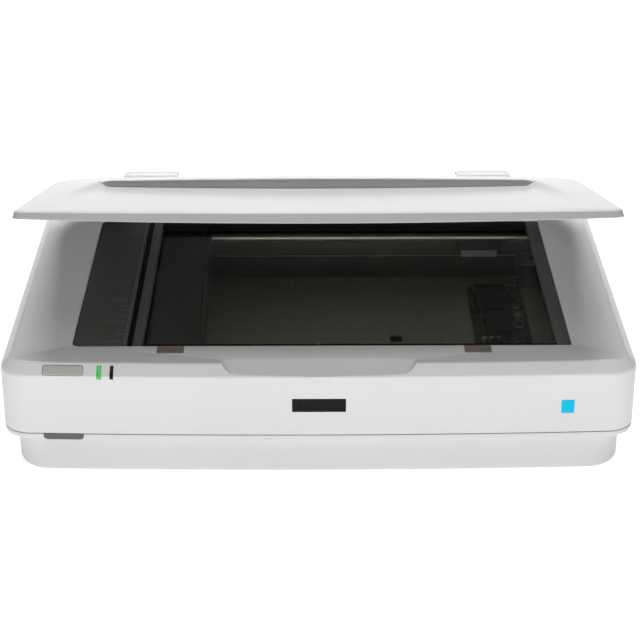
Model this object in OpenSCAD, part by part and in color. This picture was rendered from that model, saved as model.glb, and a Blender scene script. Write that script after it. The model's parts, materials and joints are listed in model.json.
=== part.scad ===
// Large-format flatbed scanner, lid part open. Millimetres, +Z up.
// Origin on the ground under the centre of the body, front at -Y.

/* [Body] */
// Overall width of the body
body_w = 656; // [650:1:664]
// Overall depth of the body
body_d = 458; // [456:1:462]
// Height of the flat top face above the ground
top_z = 131; // [130:0.5:133]
// Height of the joint line between the two housings
seam_z = 54; // [52:1:56]
// Width and height of the edge bevel round the top
bevel = 11; // [8:0.5:12]
// Plan radius of the bowed front face
bow_r = 7400; // [7400:100:7400]
// Wall thickness of the upper housing
wall = 3; // [2.5:0.1:3.5]
// Height of the feet below the tub
foot_h = 4; // [3:0.5:5]

/* [Glass] */
// Left edge of the glass opening
glass_x0 = -200; // [-204:1:-198]
// Right edge of the glass opening
glass_x1 = 263; // [258:1:266]
// Front edge of the glass opening
glass_y0 = -178; // [-181:1:-176]
// Rear edge of the glass opening
glass_y1 = 154; // [150:1:158]
// Thickness of the document glass
glass_t = 3; // [2.5:0.1:3.2]

/* [Lid] */
// Width of the lid
lid_w = 620; // [600:1:620]
// Thickness of the lid rim
lid_t = 11.3; // [10:0.1:13]
// Opening angle of the lid at rest, from closed
lid_rest = 16.7; // [0:0.1:40]
// How far the hinge posts are raised at rest
lift_rest = 21.8; // [0:0.1:30]
// Height of the crescent band at its middle
band_h = 11.5; // [9:0.5:13]

/* [Carriage] */
// Centre of the parked carriage
car_x = -160.5; // [-162:0.5:-158]
// Width of the carriage along its travel
car_w = 69; // [66:1:70]
// Diameter of the guide rod
rod_d = 10; // [8:1:12]

/* [Hidden] */
$fn = 48;

thin = 0.01;                    // thickness of hull sections
sides = [-1, 1];                // left and right

// Colours used by more than one piece
board_green = [0.1, 0.35, 0.2];
bracket_grey = [0.55, 0.56, 0.58];
pulley_cream = [0.85, 0.83, 0.78];

// Body
front_y = -body_d/2;
back_y = body_d/2;
shoulder_z = top_z - bevel;     // where the bevel starts
inner_top_z = top_z - wall;     // underside of the top face
floor_z = foot_h + 2.5;         // inside floor of the tub
tub_bosses = [[-265, -150], [265, -150], [0, -188], [0, 25], [-296, 30], [296, 30], [-30, 195]];
flange_x = body_w/2 - 8;
flange_screws = [for (side = sides, y = [-140, 5, 150]) [side*flange_x, y]];
feet = [for (side = sides, y = [-160, 165]) [side*255, y]];
lock_y = -120;                  // transport lock, front to back

// Parts let into the front: place and size
button_x = -261.2;
button_size = [40.8, 10.8];
power_x = -263.5;
green_x = -224;
green_w = 4.3;
dark_x = -211.1;
dark_w = 3.3;
badge_z = 88.2;
badge_size = [55, 15];
label_x = 255.5;
label_z = 83.9;
label_size = [13.3, 15.1];

// Glass
glass_w = glass_x1 - glass_x0;
glass_d = glass_y1 - glass_y0;
glass_mid_y = (glass_y0 + glass_y1)/2;
glass_z = inner_top_z - glass_t; // underside of the glass
scale_x = -228;
scale_z = top_z - 1.2;

// Chassis and drive
chassis_z = 30;
chassis_t = 1.5;
deck_z = chassis_z + chassis_t; // top of the chassis plate
rod_y = 165;
rod_z = 104.2;
rod_r = rod_d/2;
belt_y = 190;
belt_z = 92;
pulley_x = 286;                 // half spacing of the two pulleys
pulley_r = 8;
pulley_z = 90;
motor_x = pulley_x - 20;
gear_z = 66.6;
spindle_r = 2.5;
spindle_bore = 2.56;

// Boards: low corner, plan size and inset of the corner holes
board_t = 1.6;
part_rise = 1.5;                // components are sunk slightly into their board
main_at = [40, 95, 12];
main_size = [200, 110];
driver_at = [182, -10, 34];
driver_size = [66, 180];
supply_at = [-288, 62, 9];
supply_size = [136, 126];
function corners(at, size, inset) =
  [for (x = [at[0] + inset, at[0] + size[0] - inset],
        y = [at[1] + inset, at[1] + size[1] - inset]) [x, y]];
main_holes = corners(main_at, main_size, 8);
driver_posts = corners(driver_at, driver_size, 6);
supply_holes = corners(supply_at, supply_size, 6);

// Rear ports
mains_x = -236;
mains_z = 19;
data_x = 86;
accessory_x = 150;
port_y = 205.2;
port_d = 20.4;

// Carriage
car_y0 = -182;
car_y1 = 148;
car_d = car_y1 - car_y0;
car_x0 = car_x - car_w/2;
car_z = 68;
car_top_z = 116.5;              // top of the frame, under the cover
car_wall = 2.5;
bearing_x = car_x - 24.5;       // left end of the block round the rod
bearing_w = 49;
bush_r = 8;

// Hinges
hinge_x = 200;                  // half spacing of the two hinges
hinge_y = 210;
hinge_z = 141;                  // hinge axis with the posts fully down
post_w = 44;
post_d = 7;
hinge_pin_r = 2.5;
hinge_bore = 2.56;
knuckle_x = 26;                 // knuckle centre from the hinge centre
knuckle_w = 6.8;
knuckle_r = 6.5;

// Lid, closed
lid_z = top_z + 1;              // underside
rim_z = lid_z + lid_t;          // top of the rim at the front
lid_y0 = -205;
lid_y1 = 201;
lid_rise = 0.8;                 // the lid is this much thicker at the rear
band_r = 1130;                  // plan radius of the crescent band
band_half = 251.5;
band_y = lid_y0 + 255;          // front of the band at its middle
lid_screw_at = [[-280, -150], [280, -150], [-262, 150], [262, 150]];

// ---- Shared shapes ----

module block(at, size) translate(at) cube(size);
module slab(z, h = thin) translate([0, 0, z]) linear_extrude(h) children();
module at_each(points, z = 0) for (p = points) translate([p[0], p[1], z]) children();
// Cylinder that runs along +X from a point
module x_cylinder(at, length, radius, facets = $fn)
  translate(at) rotate([0, 90, 0]) cylinder(h = length, r = radius, $fn = facets);
// Rectangle with true round corners
module rounded(w, d, r) {
  square([w - 2*r, d], center = true);
  square([w, d - 2*r], center = true);
  for (x = sides, y = sides) translate([x*(w/2 - r), y*(d/2 - r)]) circle(r, $fn = 32);
}
// Cross-slotted screw, head up, with the underside of the head at z = 0
module screw(length, shank_r, head_r, head_h) difference() {
  union() {
    translate([0, 0, -length]) cylinder(h = length + thin, r = shank_r);
    cylinder(h = head_h, r = head_r);
  }
  for (turn = [0, 90]) rotate([0, 0, turn])
    block([-head_r*0.55, -0.35, head_h - 0.8], [head_r*1.1, 0.7, 1]);
}
// Sleeve with ring grooves 2 mm apart in place of coils
module spring(length, radius, bore, grooves, first, groove_w, groove_out, groove_in)
  difference() {
    cylinder(h = length, r = radius);
    translate([0, 0, -1]) cylinder(h = length + 2, r = bore);
    for (i = [0:grooves-1]) translate([0, 0, first + i*2]) difference() {
      cylinder(h = groove_w, r = groove_out);
      translate([0, 0, -1]) cylinder(h = 3, r = groove_in);
    }
  }
module board(at, size) block(at, [size[0], size[1], board_t]);
// Block components on a board; rows are x, y, width, depth, height
module components(at, rows) for (c = rows)
  block([c[0], c[1], at[2] + part_rise], [c[2], c[3], c[4]]);
// Round components on a board
module cans(at, points, h, r) at_each(points, at[2] + part_rise) cylinder(h = h, r = r);

// ---- Plan outlines ----

function arc(cx, cy, radius, from, to, steps) =
  [for (i = [0:steps]) let (a = from + (to - from)*i/steps)
    [cx + radius*cos(a), cy + radius*sin(a)]];
function without_first(points) = [for (i = [1:len(points)-1]) points[i]];
function without_last(points) = [for (i = [0:len(points)-2]) points[i]];
// Bowed front, straight sides, rounded corners, all moved in by inset
function outline(width, front, back, bow, front_r, back_r, inset) =
  let (bow_y = front + bow,
       front_x = width/2 - front_r,
       corner_y = bow_y - sqrt(pow(bow - front_r, 2) - front_x*front_x),
       swing = atan2(front_x, bow_y - corner_y), // half angle of the bow
       back_x = width/2 - back_r,
       round_r = front_r - inset,
       steps = 7)
  concat(arc(0, bow_y, bow - inset, -90 - swing, -90 + swing, 14),
    without_first(arc(front_x, corner_y, round_r, -90 + swing, 0, steps)),
    arc(back_x, back - back_r, back_r - inset, 0, 90, steps),
    arc(-back_x, back - back_r, back_r - inset, 90, 180, steps),
    without_last(arc(-front_x, corner_y, round_r, 180, 270 - swing, steps)));
module body_plan(inset) polygon(outline(body_w, front_y, back_y, bow_r, 30, 24, inset));
module tub_plan(inset)
  polygon(outline(body_w - 24, front_y + 8, back_y - 4, bow_r, 34, 22, inset));
module lid_plan(inset) polygon(outline(lid_w, lid_y0, lid_y1, 2700, 12, 76, inset));

// ---- Frames on the bowed front ----

// How far the bowed front face sits back at x
function sag(x) = bow_r - sqrt(bow_r*bow_r - x*x);
// +X along the front face, +Z up
module on_front(x, z) translate([x, front_y + sag(x), z])
  rotate([0, 0, asin(x/bow_r)]) children();
// +Z along the outward normal of the bevel
module on_bevel(x) on_front(x, shoulder_z)
  translate([0, bevel/2, bevel/2]) rotate([45, 0, 0]) children();
// +Z outward from the front face
module on_face(x, z) on_front(x, z) rotate([90, 0, 0]) children();

// ---- Housings ----

module lower_housing() color("whitesmoke") difference() {
  union() {
    slab(seam_z - 7, 6) body_plan(0.3);
    slab(seam_z - 1 - thin, 1 + thin) body_plan(2.2);
    hull() {
      slab(seam_z - 1) tub_plan(0);
      slab(foot_h + 10) tub_plan(0.6);
      slab(foot_h + 4) tub_plan(1.8);
      slab(foot_h + 1.2) tub_plan(3.8);
      slab(foot_h) tub_plan(6.5);
    }
    // rib that stands up inside the upper housing
    difference() {
      slab(seam_z, 3) body_plan(3.2);
      slab(seam_z - 1, 5) body_plan(5);
    }
  }
  difference() {
    hull() {
      slab(seam_z + 4) tub_plan(2.6);
      slab(foot_h + 12) tub_plan(3.1);
      slab(floor_z + 1) tub_plan(7);
      slab(floor_z) tub_plan(12);
    }
    // standing bosses for the chassis and the boards
    at_each(tub_bosses) cylinder(h = 30, r = 5);
    at_each(main_holes) cylinder(h = 12, r = 4);
    at_each(supply_holes) cylinder(h = 9, r = 4);
  }
  // relief inside the lip, all round
  difference() {
    slab(seam_z - 4, 9) body_plan(5);
    slab(seam_z - 5, 11) tub_plan(-1);
    at_each(flange_screws) cylinder(h = seam_z, r = 4.6);
  }
  // screw holes, and gaps in the rib at the flange screws
  at_each(tub_bosses, 12) cylinder(h = 20, r = 1.6);
  at_each(flange_screws, seam_z) block([-9, -5.4, 0], [18, 10.8, 6]);
  at_each(flange_screws, 40) {
    cylinder(h = 30, r = 1.8);
    cylinder(h = seam_z - 43.5, r = 3.4);
  }
  at_each(feet, foot_h - 1) cylinder(h = 5, r = 3.1);
  // rear openings
  translate([mains_x, back_y - 12, mains_z]) rotate([-90, 0, 0])
    linear_extrude(20) rounded(27.6, 20.2, 2);
  translate([data_x, back_y - 12, 19.4]) cube([12.6, 30, 11.4], center = true);
  translate([accessory_x, back_y - 12, 19]) cube([38.6, 30, 9.6], center = true);
  // opening for the power button in the flange band
  on_front(power_x, seam_z) {
    block([-20.9, -2, -8], [41.8, 8.2, 13]);
    block([-3.5, 4, -6.5], [7, 10, 5]);
  }
  // transport lock slot in the floor
  translate([-120, lock_y, foot_h + 1]) cube([24.6, 8.6, 6], center = true);
}

// Sloping recess in the middle of the front edge, grown by a margin
module front_recess(grow) hull() {
  block([-106.5 - grow, front_y + 23.4 + grow, top_z - 1.2*grow], [213 + 2*grow, thin, 3]);
  block([-93 - grow, front_y - 2, top_z - 14.3 - 1.2*grow], [186 + 2*grow, thin, 18 + grow]);
}
// The square leaves only the left corners rounded
module scale_plan(grow, square_w) {
  rounded(56 + grow, glass_d + grow, 8);
  translate([0, -(glass_d + grow)/2]) square([square_w, glass_d + grow]);
}
module upper_housing() color("white") difference() {
  union() {
    slab(seam_z, shoulder_z - seam_z) body_plan(0);
    hull() {
      slab(shoulder_z - thin) body_plan(0);
      slab(top_z - thin) body_plan(bevel);
    }
  }
  difference() {
    hull() {
      slab(seam_z - 1) body_plan(wall);
      slab(shoulder_z - 1.2) body_plan(wall);
      slab(inner_top_z - thin) body_plan(bevel + 1);
    }
    front_recess(3);
    // screw bosses, each with a web to the side wall
    for (p = flange_screws) translate([p[0], p[1], seam_z]) {
      cylinder(h = 20, r = 4.4);
      block([p[0] > 0 ? 0 : -8, -1, 0], [8, 2, 20]);
    }
  }
  front_recess(0);
  at_each(flange_screws, seam_z - 1) cylinder(h = 16, r = 1.5);
  // glass opening and the pocket for the scale plate
  block([glass_x0, glass_y0, inner_top_z - 1], [glass_w, glass_d, 9]);
  translate([scale_x, glass_mid_y, scale_z]) linear_extrude(3) scale_plan(0.4, 28.1);
  // hinge post slots
  each_hinge(z = top_z - 8) linear_extrude(12) square([post_w + 0.8, post_d + 0.8], center = true);
  // start button and lights
  on_bevel(button_x) translate([0, -1, -6]) linear_extrude(9)
    rounded(button_size[0] + 0.8, button_size[1] + 0.8, 2.2);
  light_slot(green_x, green_w);
  light_slot(dark_x, dark_w);
  // locating pockets of badge and label
  on_face(0, badge_z) translate([0, 0, -1.2]) linear_extrude(3)
    rounded(badge_size[0] + 0.4, badge_size[1] + 0.4, 0.6);
  on_face(label_x, label_z) translate([0, 0, -0.25]) linear_extrude(2)
    square([label_size[0] + 0.4, label_size[1] + 0.4], center = true);
}

// Strip that follows the bevel and turns just onto the front face,
// from depth inside the surface to out beyond it, lengthened by grow
module light_strip(x, w, depth, out, grow) on_front(x, shoulder_z)
  rotate([90, 0, -90]) translate([0, 0, -w/2]) linear_extrude(w)
    let (run = 8.6 + grow, low = -2.6 - grow, slant = 0.707, mitre = 0.414) polygon([
      [out, low], [out, mitre*out], [-run + slant*out, run + slant*out],
      [-run - slant*depth, run - slant*depth], [-depth, -mitre*depth], [-depth, low]]);
module light_slot(x, w) light_strip(x, w + 0.4, depth = 4, out = 2, grow = 0.2);
module light(x, w) light_strip(x, w, depth = 3, out = 0.15, grow = 0);

// ---- Glass and top face ----

module document_glass() color([0.75, 0.85, 0.85, 0.4])
  block([glass_x0 - 7, glass_y0 - 7, glass_z], [glass_w + 14, glass_d + 13, glass_t]);

module glass_frame() color([0.12, 0.12, 0.13]) difference() {
  block([glass_x0 + 0.2, glass_y0 + 0.2, inner_top_z], [glass_w - 0.4, glass_d - 0.4, 1.8]);
  block([glass_x0 + 18, glass_y0 + 8, inner_top_z - 1], [glass_w - 34.5, glass_d - 32, 6]);
}

module scale_plate() color([0.32, 0.33, 0.34])
  translate([scale_x, glass_mid_y, scale_z]) difference() {
    linear_extrude(1.1) scale_plan(0, 28);
    // size marks, mixed long and short
    for (i = [0:30])
      block([4, -155 + i*10, 0.9], [i % 5 == 0 ? 18 : (i % 2 == 0 ? 11 : 7), 0.6, 1]);
  }

module lid_rest_pads() color([0.42, 0.40, 0.38])
  for (x = [-153.2, 164.5]) translate([x, glass_y0 - 8.6, top_z])
    linear_extrude(0.7) rounded(27.9, 16, 1.5);

module white_reference_strip() color("white")
  block([glass_x0 - 5, glass_y0 + 2, glass_z - 0.6], [9, glass_d - 4, 0.6]);

// ---- Chassis, rod and rail ----

module chassis_plate() color([0.2, 0.2, 0.21]) difference() {
  union() {
    slab(chassis_z, chassis_t) intersection() {
      translate([0, 5]) rounded(612, 410, 14);
      polygon(outline(616, -200, 212, 9000, 60, 14, 0));
    }
    // stiffening beads
    for (y = [-120, -60, 60]) block([-150, y, deck_z], [300, 4, 1.2]);
  }
  at_each(tub_bosses, chassis_z - 1) cylinder(h = 4, r = 1.7);
  // rectangular cable hole and a locating hole
  block([84, 29, chassis_z - 1], [14, 16, 4]);
  translate([177, 150, chassis_z - 1]) cylinder(h = 4, r = 2.4);
}

module guide_rod() color("silver") x_cylinder([-303, rod_y, rod_z], 606, rod_r, 64);

// Table: left edge of the upright, left edge of its foot
module rod_brackets() color(bracket_grey)
  for (left = [[-305.5, -305.5], [299.5, 289.5]]) difference() {
    union() {
      block([left[0], rod_y - 8, deck_z], [6, 16, rod_z - deck_z]);
      x_cylinder([left[0], rod_y, rod_z], 6, 9);
      block([left[1], rod_y - 8, deck_z], [16, 16, 3]);
    }
    x_cylinder([-310, rod_y, rod_z], 620, rod_r + 0.02, 64);
  }

// Foot, upright and T-shaped head; profile points are y from the rail line, z
module front_rail() color([0.5, 0.51, 0.53])
  translate([-205, -172, 0]) rotate([90, 0, 90]) linear_extrude(503) polygon([
    [-10, 31.5], [3, 31.5], [3, 64.5], [5, 64.5], [5, 66], [-5, 66], [-5, 64.5], [1.5, 64.5],
    [1.5, 33], [-10, 33]]);

// ---- Belt drive ----

module belt_loop(r) {
  for (side = sides) translate([side*pulley_x, 0]) circle(r, $fn = 64);
  square([2*pulley_x, 2*r], center = true);
}
module drive_belt() color([0.1, 0.1, 0.1])
  translate([0, belt_y, belt_z]) linear_extrude(6) difference() {
    belt_loop(pulley_r + 1.6);
    belt_loop(pulley_r + 0.1);
  }

module idler_bracket() color(bracket_grey) difference() {
  union() {
    block([-300, belt_y - 10, deck_z], [30, 20, 1.5]);
    block([-300, belt_y - 7, deck_z], [2, 14, 56.5]);
    block([-300, belt_y - 7, 86.5], [22, 14, 1.5]);
    translate([-pulley_x, belt_y, 87]) cylinder(h = 14, r = spindle_r);
  }
  translate([-277, belt_y, 30]) cylinder(h = 4, r = 1.7);
}

module tension_spring() color("silver") translate([-297.5, belt_y, 74]) rotate([0, 90, 0])
  spring(length = 14, radius = 3.2, bore = 2.2, grooves = 6, first = 1.4,
    groove_w = 0.8, groove_out = 4, groove_in = 2.6);

module stepper_motor() color([0.25, 0.25, 0.27]) translate([motor_x, belt_y, 0]) {
  slab(33, 30.9) difference() {
    rounded(35, 35, 4);
    for (x = [-13, 13], y = [-13, 13]) translate([x, y]) circle(1.6);
  }
  translate([0, 0, 60]) cylinder(h = 11, r = 1.99);
  // block on the left side
  block([-21.5, -7, 34], [4.2, 14, 8]);
}

module motor_bracket() color([0.6, 0.61, 0.63]) difference() {
  union() {
    block([246, 171, 64], [52, 39, 2]);
    block([246, 208.2, deck_z], [52, 1.8, 34.5]);
    translate([pulley_x, belt_y, 65]) cylinder(h = 36, r = spindle_r);
  }
  translate([motor_x, belt_y, 60]) cylinder(h = 10, r = 6);
}

// Disc with square notches between its teeth
module gear(r, teeth, h) difference() {
  cylinder(h = h, r = r);
  for (i = [0:teeth-1]) rotate([0, 0, 360*(i + 0.5)/teeth])
    block([r - 0.8, -0.55, -1], [3, 1.1, h + 2]);
}
// Belt drum between two rims
module pulley() {
  for (z = [pulley_z, pulley_z + 9]) translate([0, 0, z]) cylinder(h = 1, r = pulley_r + 2.4);
  translate([0, 0, pulley_z + 1]) cylinder(h = 8, r = pulley_r);
}
module drive_pulley() color(pulley_cream) translate([pulley_x, belt_y, 0]) difference() {
  union() {
    translate([0, 0, gear_z]) gear(15.6, 48, 4.4);
    translate([0, 0, 70]) cylinder(h = 24, r = 6);
    pulley();
  }
  translate([0, 0, 60]) cylinder(h = 50, r = spindle_bore);
}
module motor_pinion() color("goldenrod") translate([motor_x, belt_y, gear_z]) difference() {
  gear(4, 12, 4.2);
  translate([0, 0, -1]) cylinder(h = 8, r = 2.05);
}
module idler_pulley() color(pulley_cream) translate([-pulley_x, belt_y, 0]) difference() {
  union() pulley();
  translate([0, 0, 80]) cylinder(h = 30, r = spindle_bore);
}

// ---- Electronics ----

module main_board() color(board_green) difference() {
  union() {
    board(main_at, main_size);
    components(main_at, [[110, 130, 26, 26, 2.1], [60, 120, 14, 20, 1.9],
      [170, 110, 18, 12, 2.4], [196, 150, 24, 30, 11]]);
    cans(main_at, [for (x = [60, 72, 84]) [x, 158]], h = 9, r = 3.5);
  }
  at_each(main_holes, 10) cylinder(h = 6, r = 1.6);
}

module motor_driver_board() color([0.12, 0.3, 0.2]) union() {
  board(driver_at, driver_size);
  components(driver_at, [[200, 104, 24, 24, 3], [190, 150, 38, 9, 9],
    [186, 96, 8, 40, 7], [196, 32, 30, 40, 12]]);
  cans(driver_at, [for (y = [60, 76, 92]) [236, y]], h = 11, r = 5);
  at_each(driver_posts, deck_z) cylinder(h = 3, r = 3);
}

module power_supply() color([0.55, 0.42, 0.2]) difference() {
  union() {
    board(supply_at, supply_size);
    components(supply_at, [[-270, 84, 34, 30, 17], [-220, 80, 40, 10, 16],
      [-272, 140, 28, 24, 12]]);
    cans(supply_at, [for (x = [-222, -196], y = [112, 138]) [x, y]], h = 17, r = 9);
  }
  at_each(supply_holes, 5) cylinder(h = 8, r = 1.6);
}

module mains_inlet() color([0.08, 0.08, 0.08])
  translate([mains_x, back_y - 3.8, mains_z]) rotate([-90, 0, 0]) difference() {
    union() {
      slab(-18, 18.4) rounded(27.2, 19.8, 2);
      slab(0, 1.6) rounded(30.6, 22.4, 2.4);
    }
    // socket with three pins left standing
    difference() {
      slab(-14, 20) rounded(24.2, 16.8, 2);
      for (x = [-7, 0, 7]) block([x - 1, -3.5 + abs(x)*0.2, -15], [2, 4, 12]);
    }
  }

// Both ports are shells open to the rear with a tongue inside
module data_port() color([0.7, 0.7, 0.72]) difference() {
  block([data_x - 6, port_y, 13.8], [12, port_d, 11]);
  difference() {
    block([data_x - 5, 212, 14.8], [10, 20, 9]);
    block([data_x - 2.8, 211, 16.8], [5.6, 11, 3.4]);
  }
}
module accessory_port() color([0.15, 0.15, 0.16]) difference() {
  block([accessory_x - 19, port_y, 14.4], [38, port_d, 9]);
  difference() {
    block([accessory_x - 17.6, 214, 15.6], [35.2, 20, 6.6]);
    block([accessory_x - 15, 213, 17.8], [30, 9, 2]);
  }
}

// Cable lying on the chassis with a fold under the parked carriage
module flat_cable() color([0.85, 0.85, 0.83]) let (
    cable_t = 0.5, cable_z = deck_z + 0.1, fold_x = -172, fold_r = 18.15,
    fold_z = cable_z + fold_r)
  translate([0, 14, 0]) rotate([90, 0, 0]) linear_extrude(26) {
    translate([fold_x, cable_z]) square([353.5, cable_t]);
    translate([fold_x, fold_z]) difference() {
      circle(fold_r);
      circle(fold_r - cable_t);
      translate([0, -30]) square([40, 60]);
    }
    translate([fold_x - 0.2, fold_z + fold_r - cable_t]) square([12, cable_t]);
  }

// ---- Feet, badge, lights, buttons and screws ----

module rubber_feet() color([0.15, 0.15, 0.15]) at_each(feet) union() {
  cylinder(h = 1.5, r = 11);
  translate([0, 0, 1.5]) cylinder(h = foot_h - 1.5, r = 12);
  cylinder(h = foot_h + 2.4, r = 3.05);
}
module badge_plate() color([0.05, 0.05, 0.06]) on_face(0, badge_z)
  slab(-1.15, 1.1) rounded(badge_size[0], badge_size[1], 0.6);
module blue_label() color([0.1, 0.55, 0.8]) on_face(label_x, label_z)
  slab(-0.2, 0.3) square(label_size, center = true);
module green_light() color([0.15, 0.8, 0.25]) light(green_x, green_w);
module dark_light() color([0.08, 0.08, 0.08]) light(dark_x, dark_w);

// Board under the bevel with a switch and two small components
module button_board() color(board_green) on_bevel(-240) {
  block([-44, -6, -13.6], [80, 12, board_t]);
  block([-25, -3, -12.1], [6, 6, 3.1]);
  block([12.5, -2, -12.1], [6, 4, 2]);
  block([26, -2, -12.1], [4, 4, 2]);
}
module start_button() color([0.72, 0.71, 0.69]) on_bevel(button_x) {
  translate([0, -1, -4]) linear_extrude(4.8) rounded(button_size[0], button_size[1], 2);
  translate([0, 0, -7.6]) cylinder(h = 4, r = 3);
}
module power_button() color([0.3, 0.3, 0.31]) on_front(power_x, seam_z) {
  difference() {
    block([-20.4, -0.1, -7.4], [40.8, 4.5, 7.1]);
    // rounded lower corners
    for (side = sides) translate([side*20.4, 0, -7.4]) rotate([90, 0, 0]) difference() {
      cube([6.4, 6.4, 20], center = true);
      translate([-side*3.2, 3.2, -11]) cylinder(h = 22, r = 3.2, $fn = 48);
    }
  }
  block([-3, 4, -6], [6, 6.5, 4]);
}
module power_switch() color([0.1, 0.1, 0.1]) on_front(power_x, seam_z) {
  block([-8, 12.3, -9.5], [16, 7, 10]);
  for (x = [-7.5, 5]) block([x, 11.4, -8], [2.5, 1, 6]);
}
module transport_lock() color([0.25, 0.45, 0.7]) translate([-122, lock_y, 0]) {
  slab(foot_h + 0.6, 2.3) rounded(14, 8, 1);
  slab(floor_z + 0.1, 1.6) rounded(30, 14, 1);
  translate([0, 0, floor_z]) cylinder(h = 5, r = 3);
}
module housing_screws() color("silver") at_each(flange_screws, seam_z - 3.6)
  mirror([0, 0, 1]) screw(16, 1.45, 3, 2);
module chassis_screws() color("silver") at_each(tub_bosses, deck_z) screw(14, 1.5, 3, 2);

// ---- Carriage ----

module carriage_frame() color([0.16, 0.16, 0.17]) difference() {
  union() {
    block([car_x0, car_y0, car_z], [car_w, car_d, car_top_z - car_z]);
    // bearing block behind the tray, and its root in the tray wall
    block([bearing_x, car_y1 - 1, 85], [bearing_w, 29, 31.5]);
    block([bearing_x, car_y1 - 4, 85], [bearing_w, 6, 31.5]);
  }
  block([car_x0 + car_wall, car_y0 + car_wall, car_z + car_wall],
    [car_w - 2*car_wall, car_d - 2*car_wall, 60]);
  x_cylinder([car_x - 40, rod_y, rod_z], 80, bush_r + 0.02, 64);
  block([car_x - 12, rod_y - 12.5, rod_z - 30], [24, 25, 60]);
}
module carriage_cover() color([0.1, 0.1, 0.11]) difference() {
  block([car_x0, car_y0, car_top_z], [car_w, car_d - 4.2, 1.5]);
  // long slit and two round holes
  block([-187, glass_y0 + 4, 110], [6, 316, 20]);
  for (side = sides) translate([car_x + side*30, car_y0 + 161.5, 110]) cylinder(h = 10, r = 1.2);
}
module light_bar() color([0.9, 0.9, 0.82]) difference() {
  block([-178.5, glass_y0 + 2, 104], [10, 316, 11]);
  translate([-180, glass_y0, 116]) rotate([-90, 0, 0]) cylinder(h = 330, r = 4.5);
}
// Columns: x, z, tilt about Y, length
mirror_table = [[-184, 76, 45, 316], [-138, 76, -45, 300], [-138, 100, 40, 280]];
module mirrors() color([0.75, 0.8, 0.85]) for (m = mirror_table)
  translate([m[0], -17, m[1]]) rotate([0, m[2], 0]) cube([2.5, m[3], 13], center = true);

// Flanged tube along X in a cradle
module lens_barrel() color([0.1, 0.1, 0.1]) {
  translate([-166, -20, 87]) rotate([0, 90, 0]) rotate_extrude($fn = 64) polygon([
    [5, -11], [9.5, -11], [9.5, -5], [11.5, -5], [11.5, 6], [9.5, 6], [9.5, 11], [5, 11]]);
  difference() {
    block([-172, -38, 70.5], [12, 36, 10]);
    x_cylinder([-176, -20, 87], 30, 11.4);
  }
}
module sensor_board() color(board_green) {
  block([-149.6, -75, 71], [board_t, 110, 42]);
  block([-152.6, -50, 82], [3.1, 60, 10]);
  block([-148.1, -60, 98], [4, 30, 6]);
}
module rod_bushes() color("goldenrod") for (x = [bearing_x, car_x + 12.5]) difference() {
  x_cylinder([x, rod_y, rod_z], 12, bush_r, 64);
  x_cylinder([x - 1, rod_y, rod_z], 14, rod_r + 0.05, 64);
}
module front_slider() color([0.9, 0.9, 0.88]) block([car_x - 12, -177, 66.1], [24, 10, 1.9]);
module belt_clamp() color([0.2, 0.2, 0.22]) difference() {
  block([bearing_x, 176, 88], [12, 8.6, 14]);
  block([car_x - 30, belt_y - pulley_r - 1.7, belt_z - 0.1], [30, 1.7, 20]);
}

// ---- Hinges ----

module each_hinge(y = hinge_y, z = 0)
  for (side = sides) translate([side*hinge_x, y, z]) children();
module lifted() translate([0, 0, lift_rest]) children();

module hinge_sockets() color([0.8, 0.8, 0.8]) each_hinge() difference() {
  slab(70, inner_top_z - 70) rounded(52, 14, 1.5);
  slab(60, 90) square([post_w + 0.5, post_d + 0.5], center = true);
}
module hinge_posts() color([0.7, 0.7, 0.71]) lifted() each_hinge() difference() {
  union() {
    block([-post_w/2, -post_d/2, 38], [post_w, post_d, hinge_z - 38]);
    x_cylinder([-post_w/2, 0, hinge_z], post_w, knuckle_r);
  }
  x_cylinder([-30, 0, hinge_z], 60, hinge_bore);
  // gap for the spring
  block([-7, -5, hinge_z - 8], [14, 10, 16]);
}
module hinge_pins() color("silver") lifted() each_hinge()
  x_cylinder([-29.4, 0, hinge_z], 58.8, hinge_pin_r);
module hinge_springs() color("silver") lifted() each_hinge(z = hinge_z)
  translate([-6, 0, 0]) rotate([0, 90, 0])
    spring(length = 12, radius = 5, bore = 3, grooves = 5, first = 1.6,
      groove_w = 0.6, groove_out = 6, groove_in = 3.6);

// ---- Lid, modelled closed and turned to its rest pose ----

module lid_pose() translate([0, hinge_y, hinge_z + lift_rest]) rotate([-lid_rest, 0, 0])
  translate([0, -hinge_y, -hinge_z]) children();
function lid_top(y) = rim_z + lid_rise*(y - lid_y0)/(lid_y1 - lid_y0);
// Height of the band above the lid, dropping to nothing at its tips
function band_top(x) = let (u = abs(x)/band_half)
  band_h*(1 - 0.42*u*u)*(u > 0.93 ? (1 - u)/0.07 : 1);
function band_front(x) = band_y + band_r - sqrt(band_r*band_r - x*x);

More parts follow.
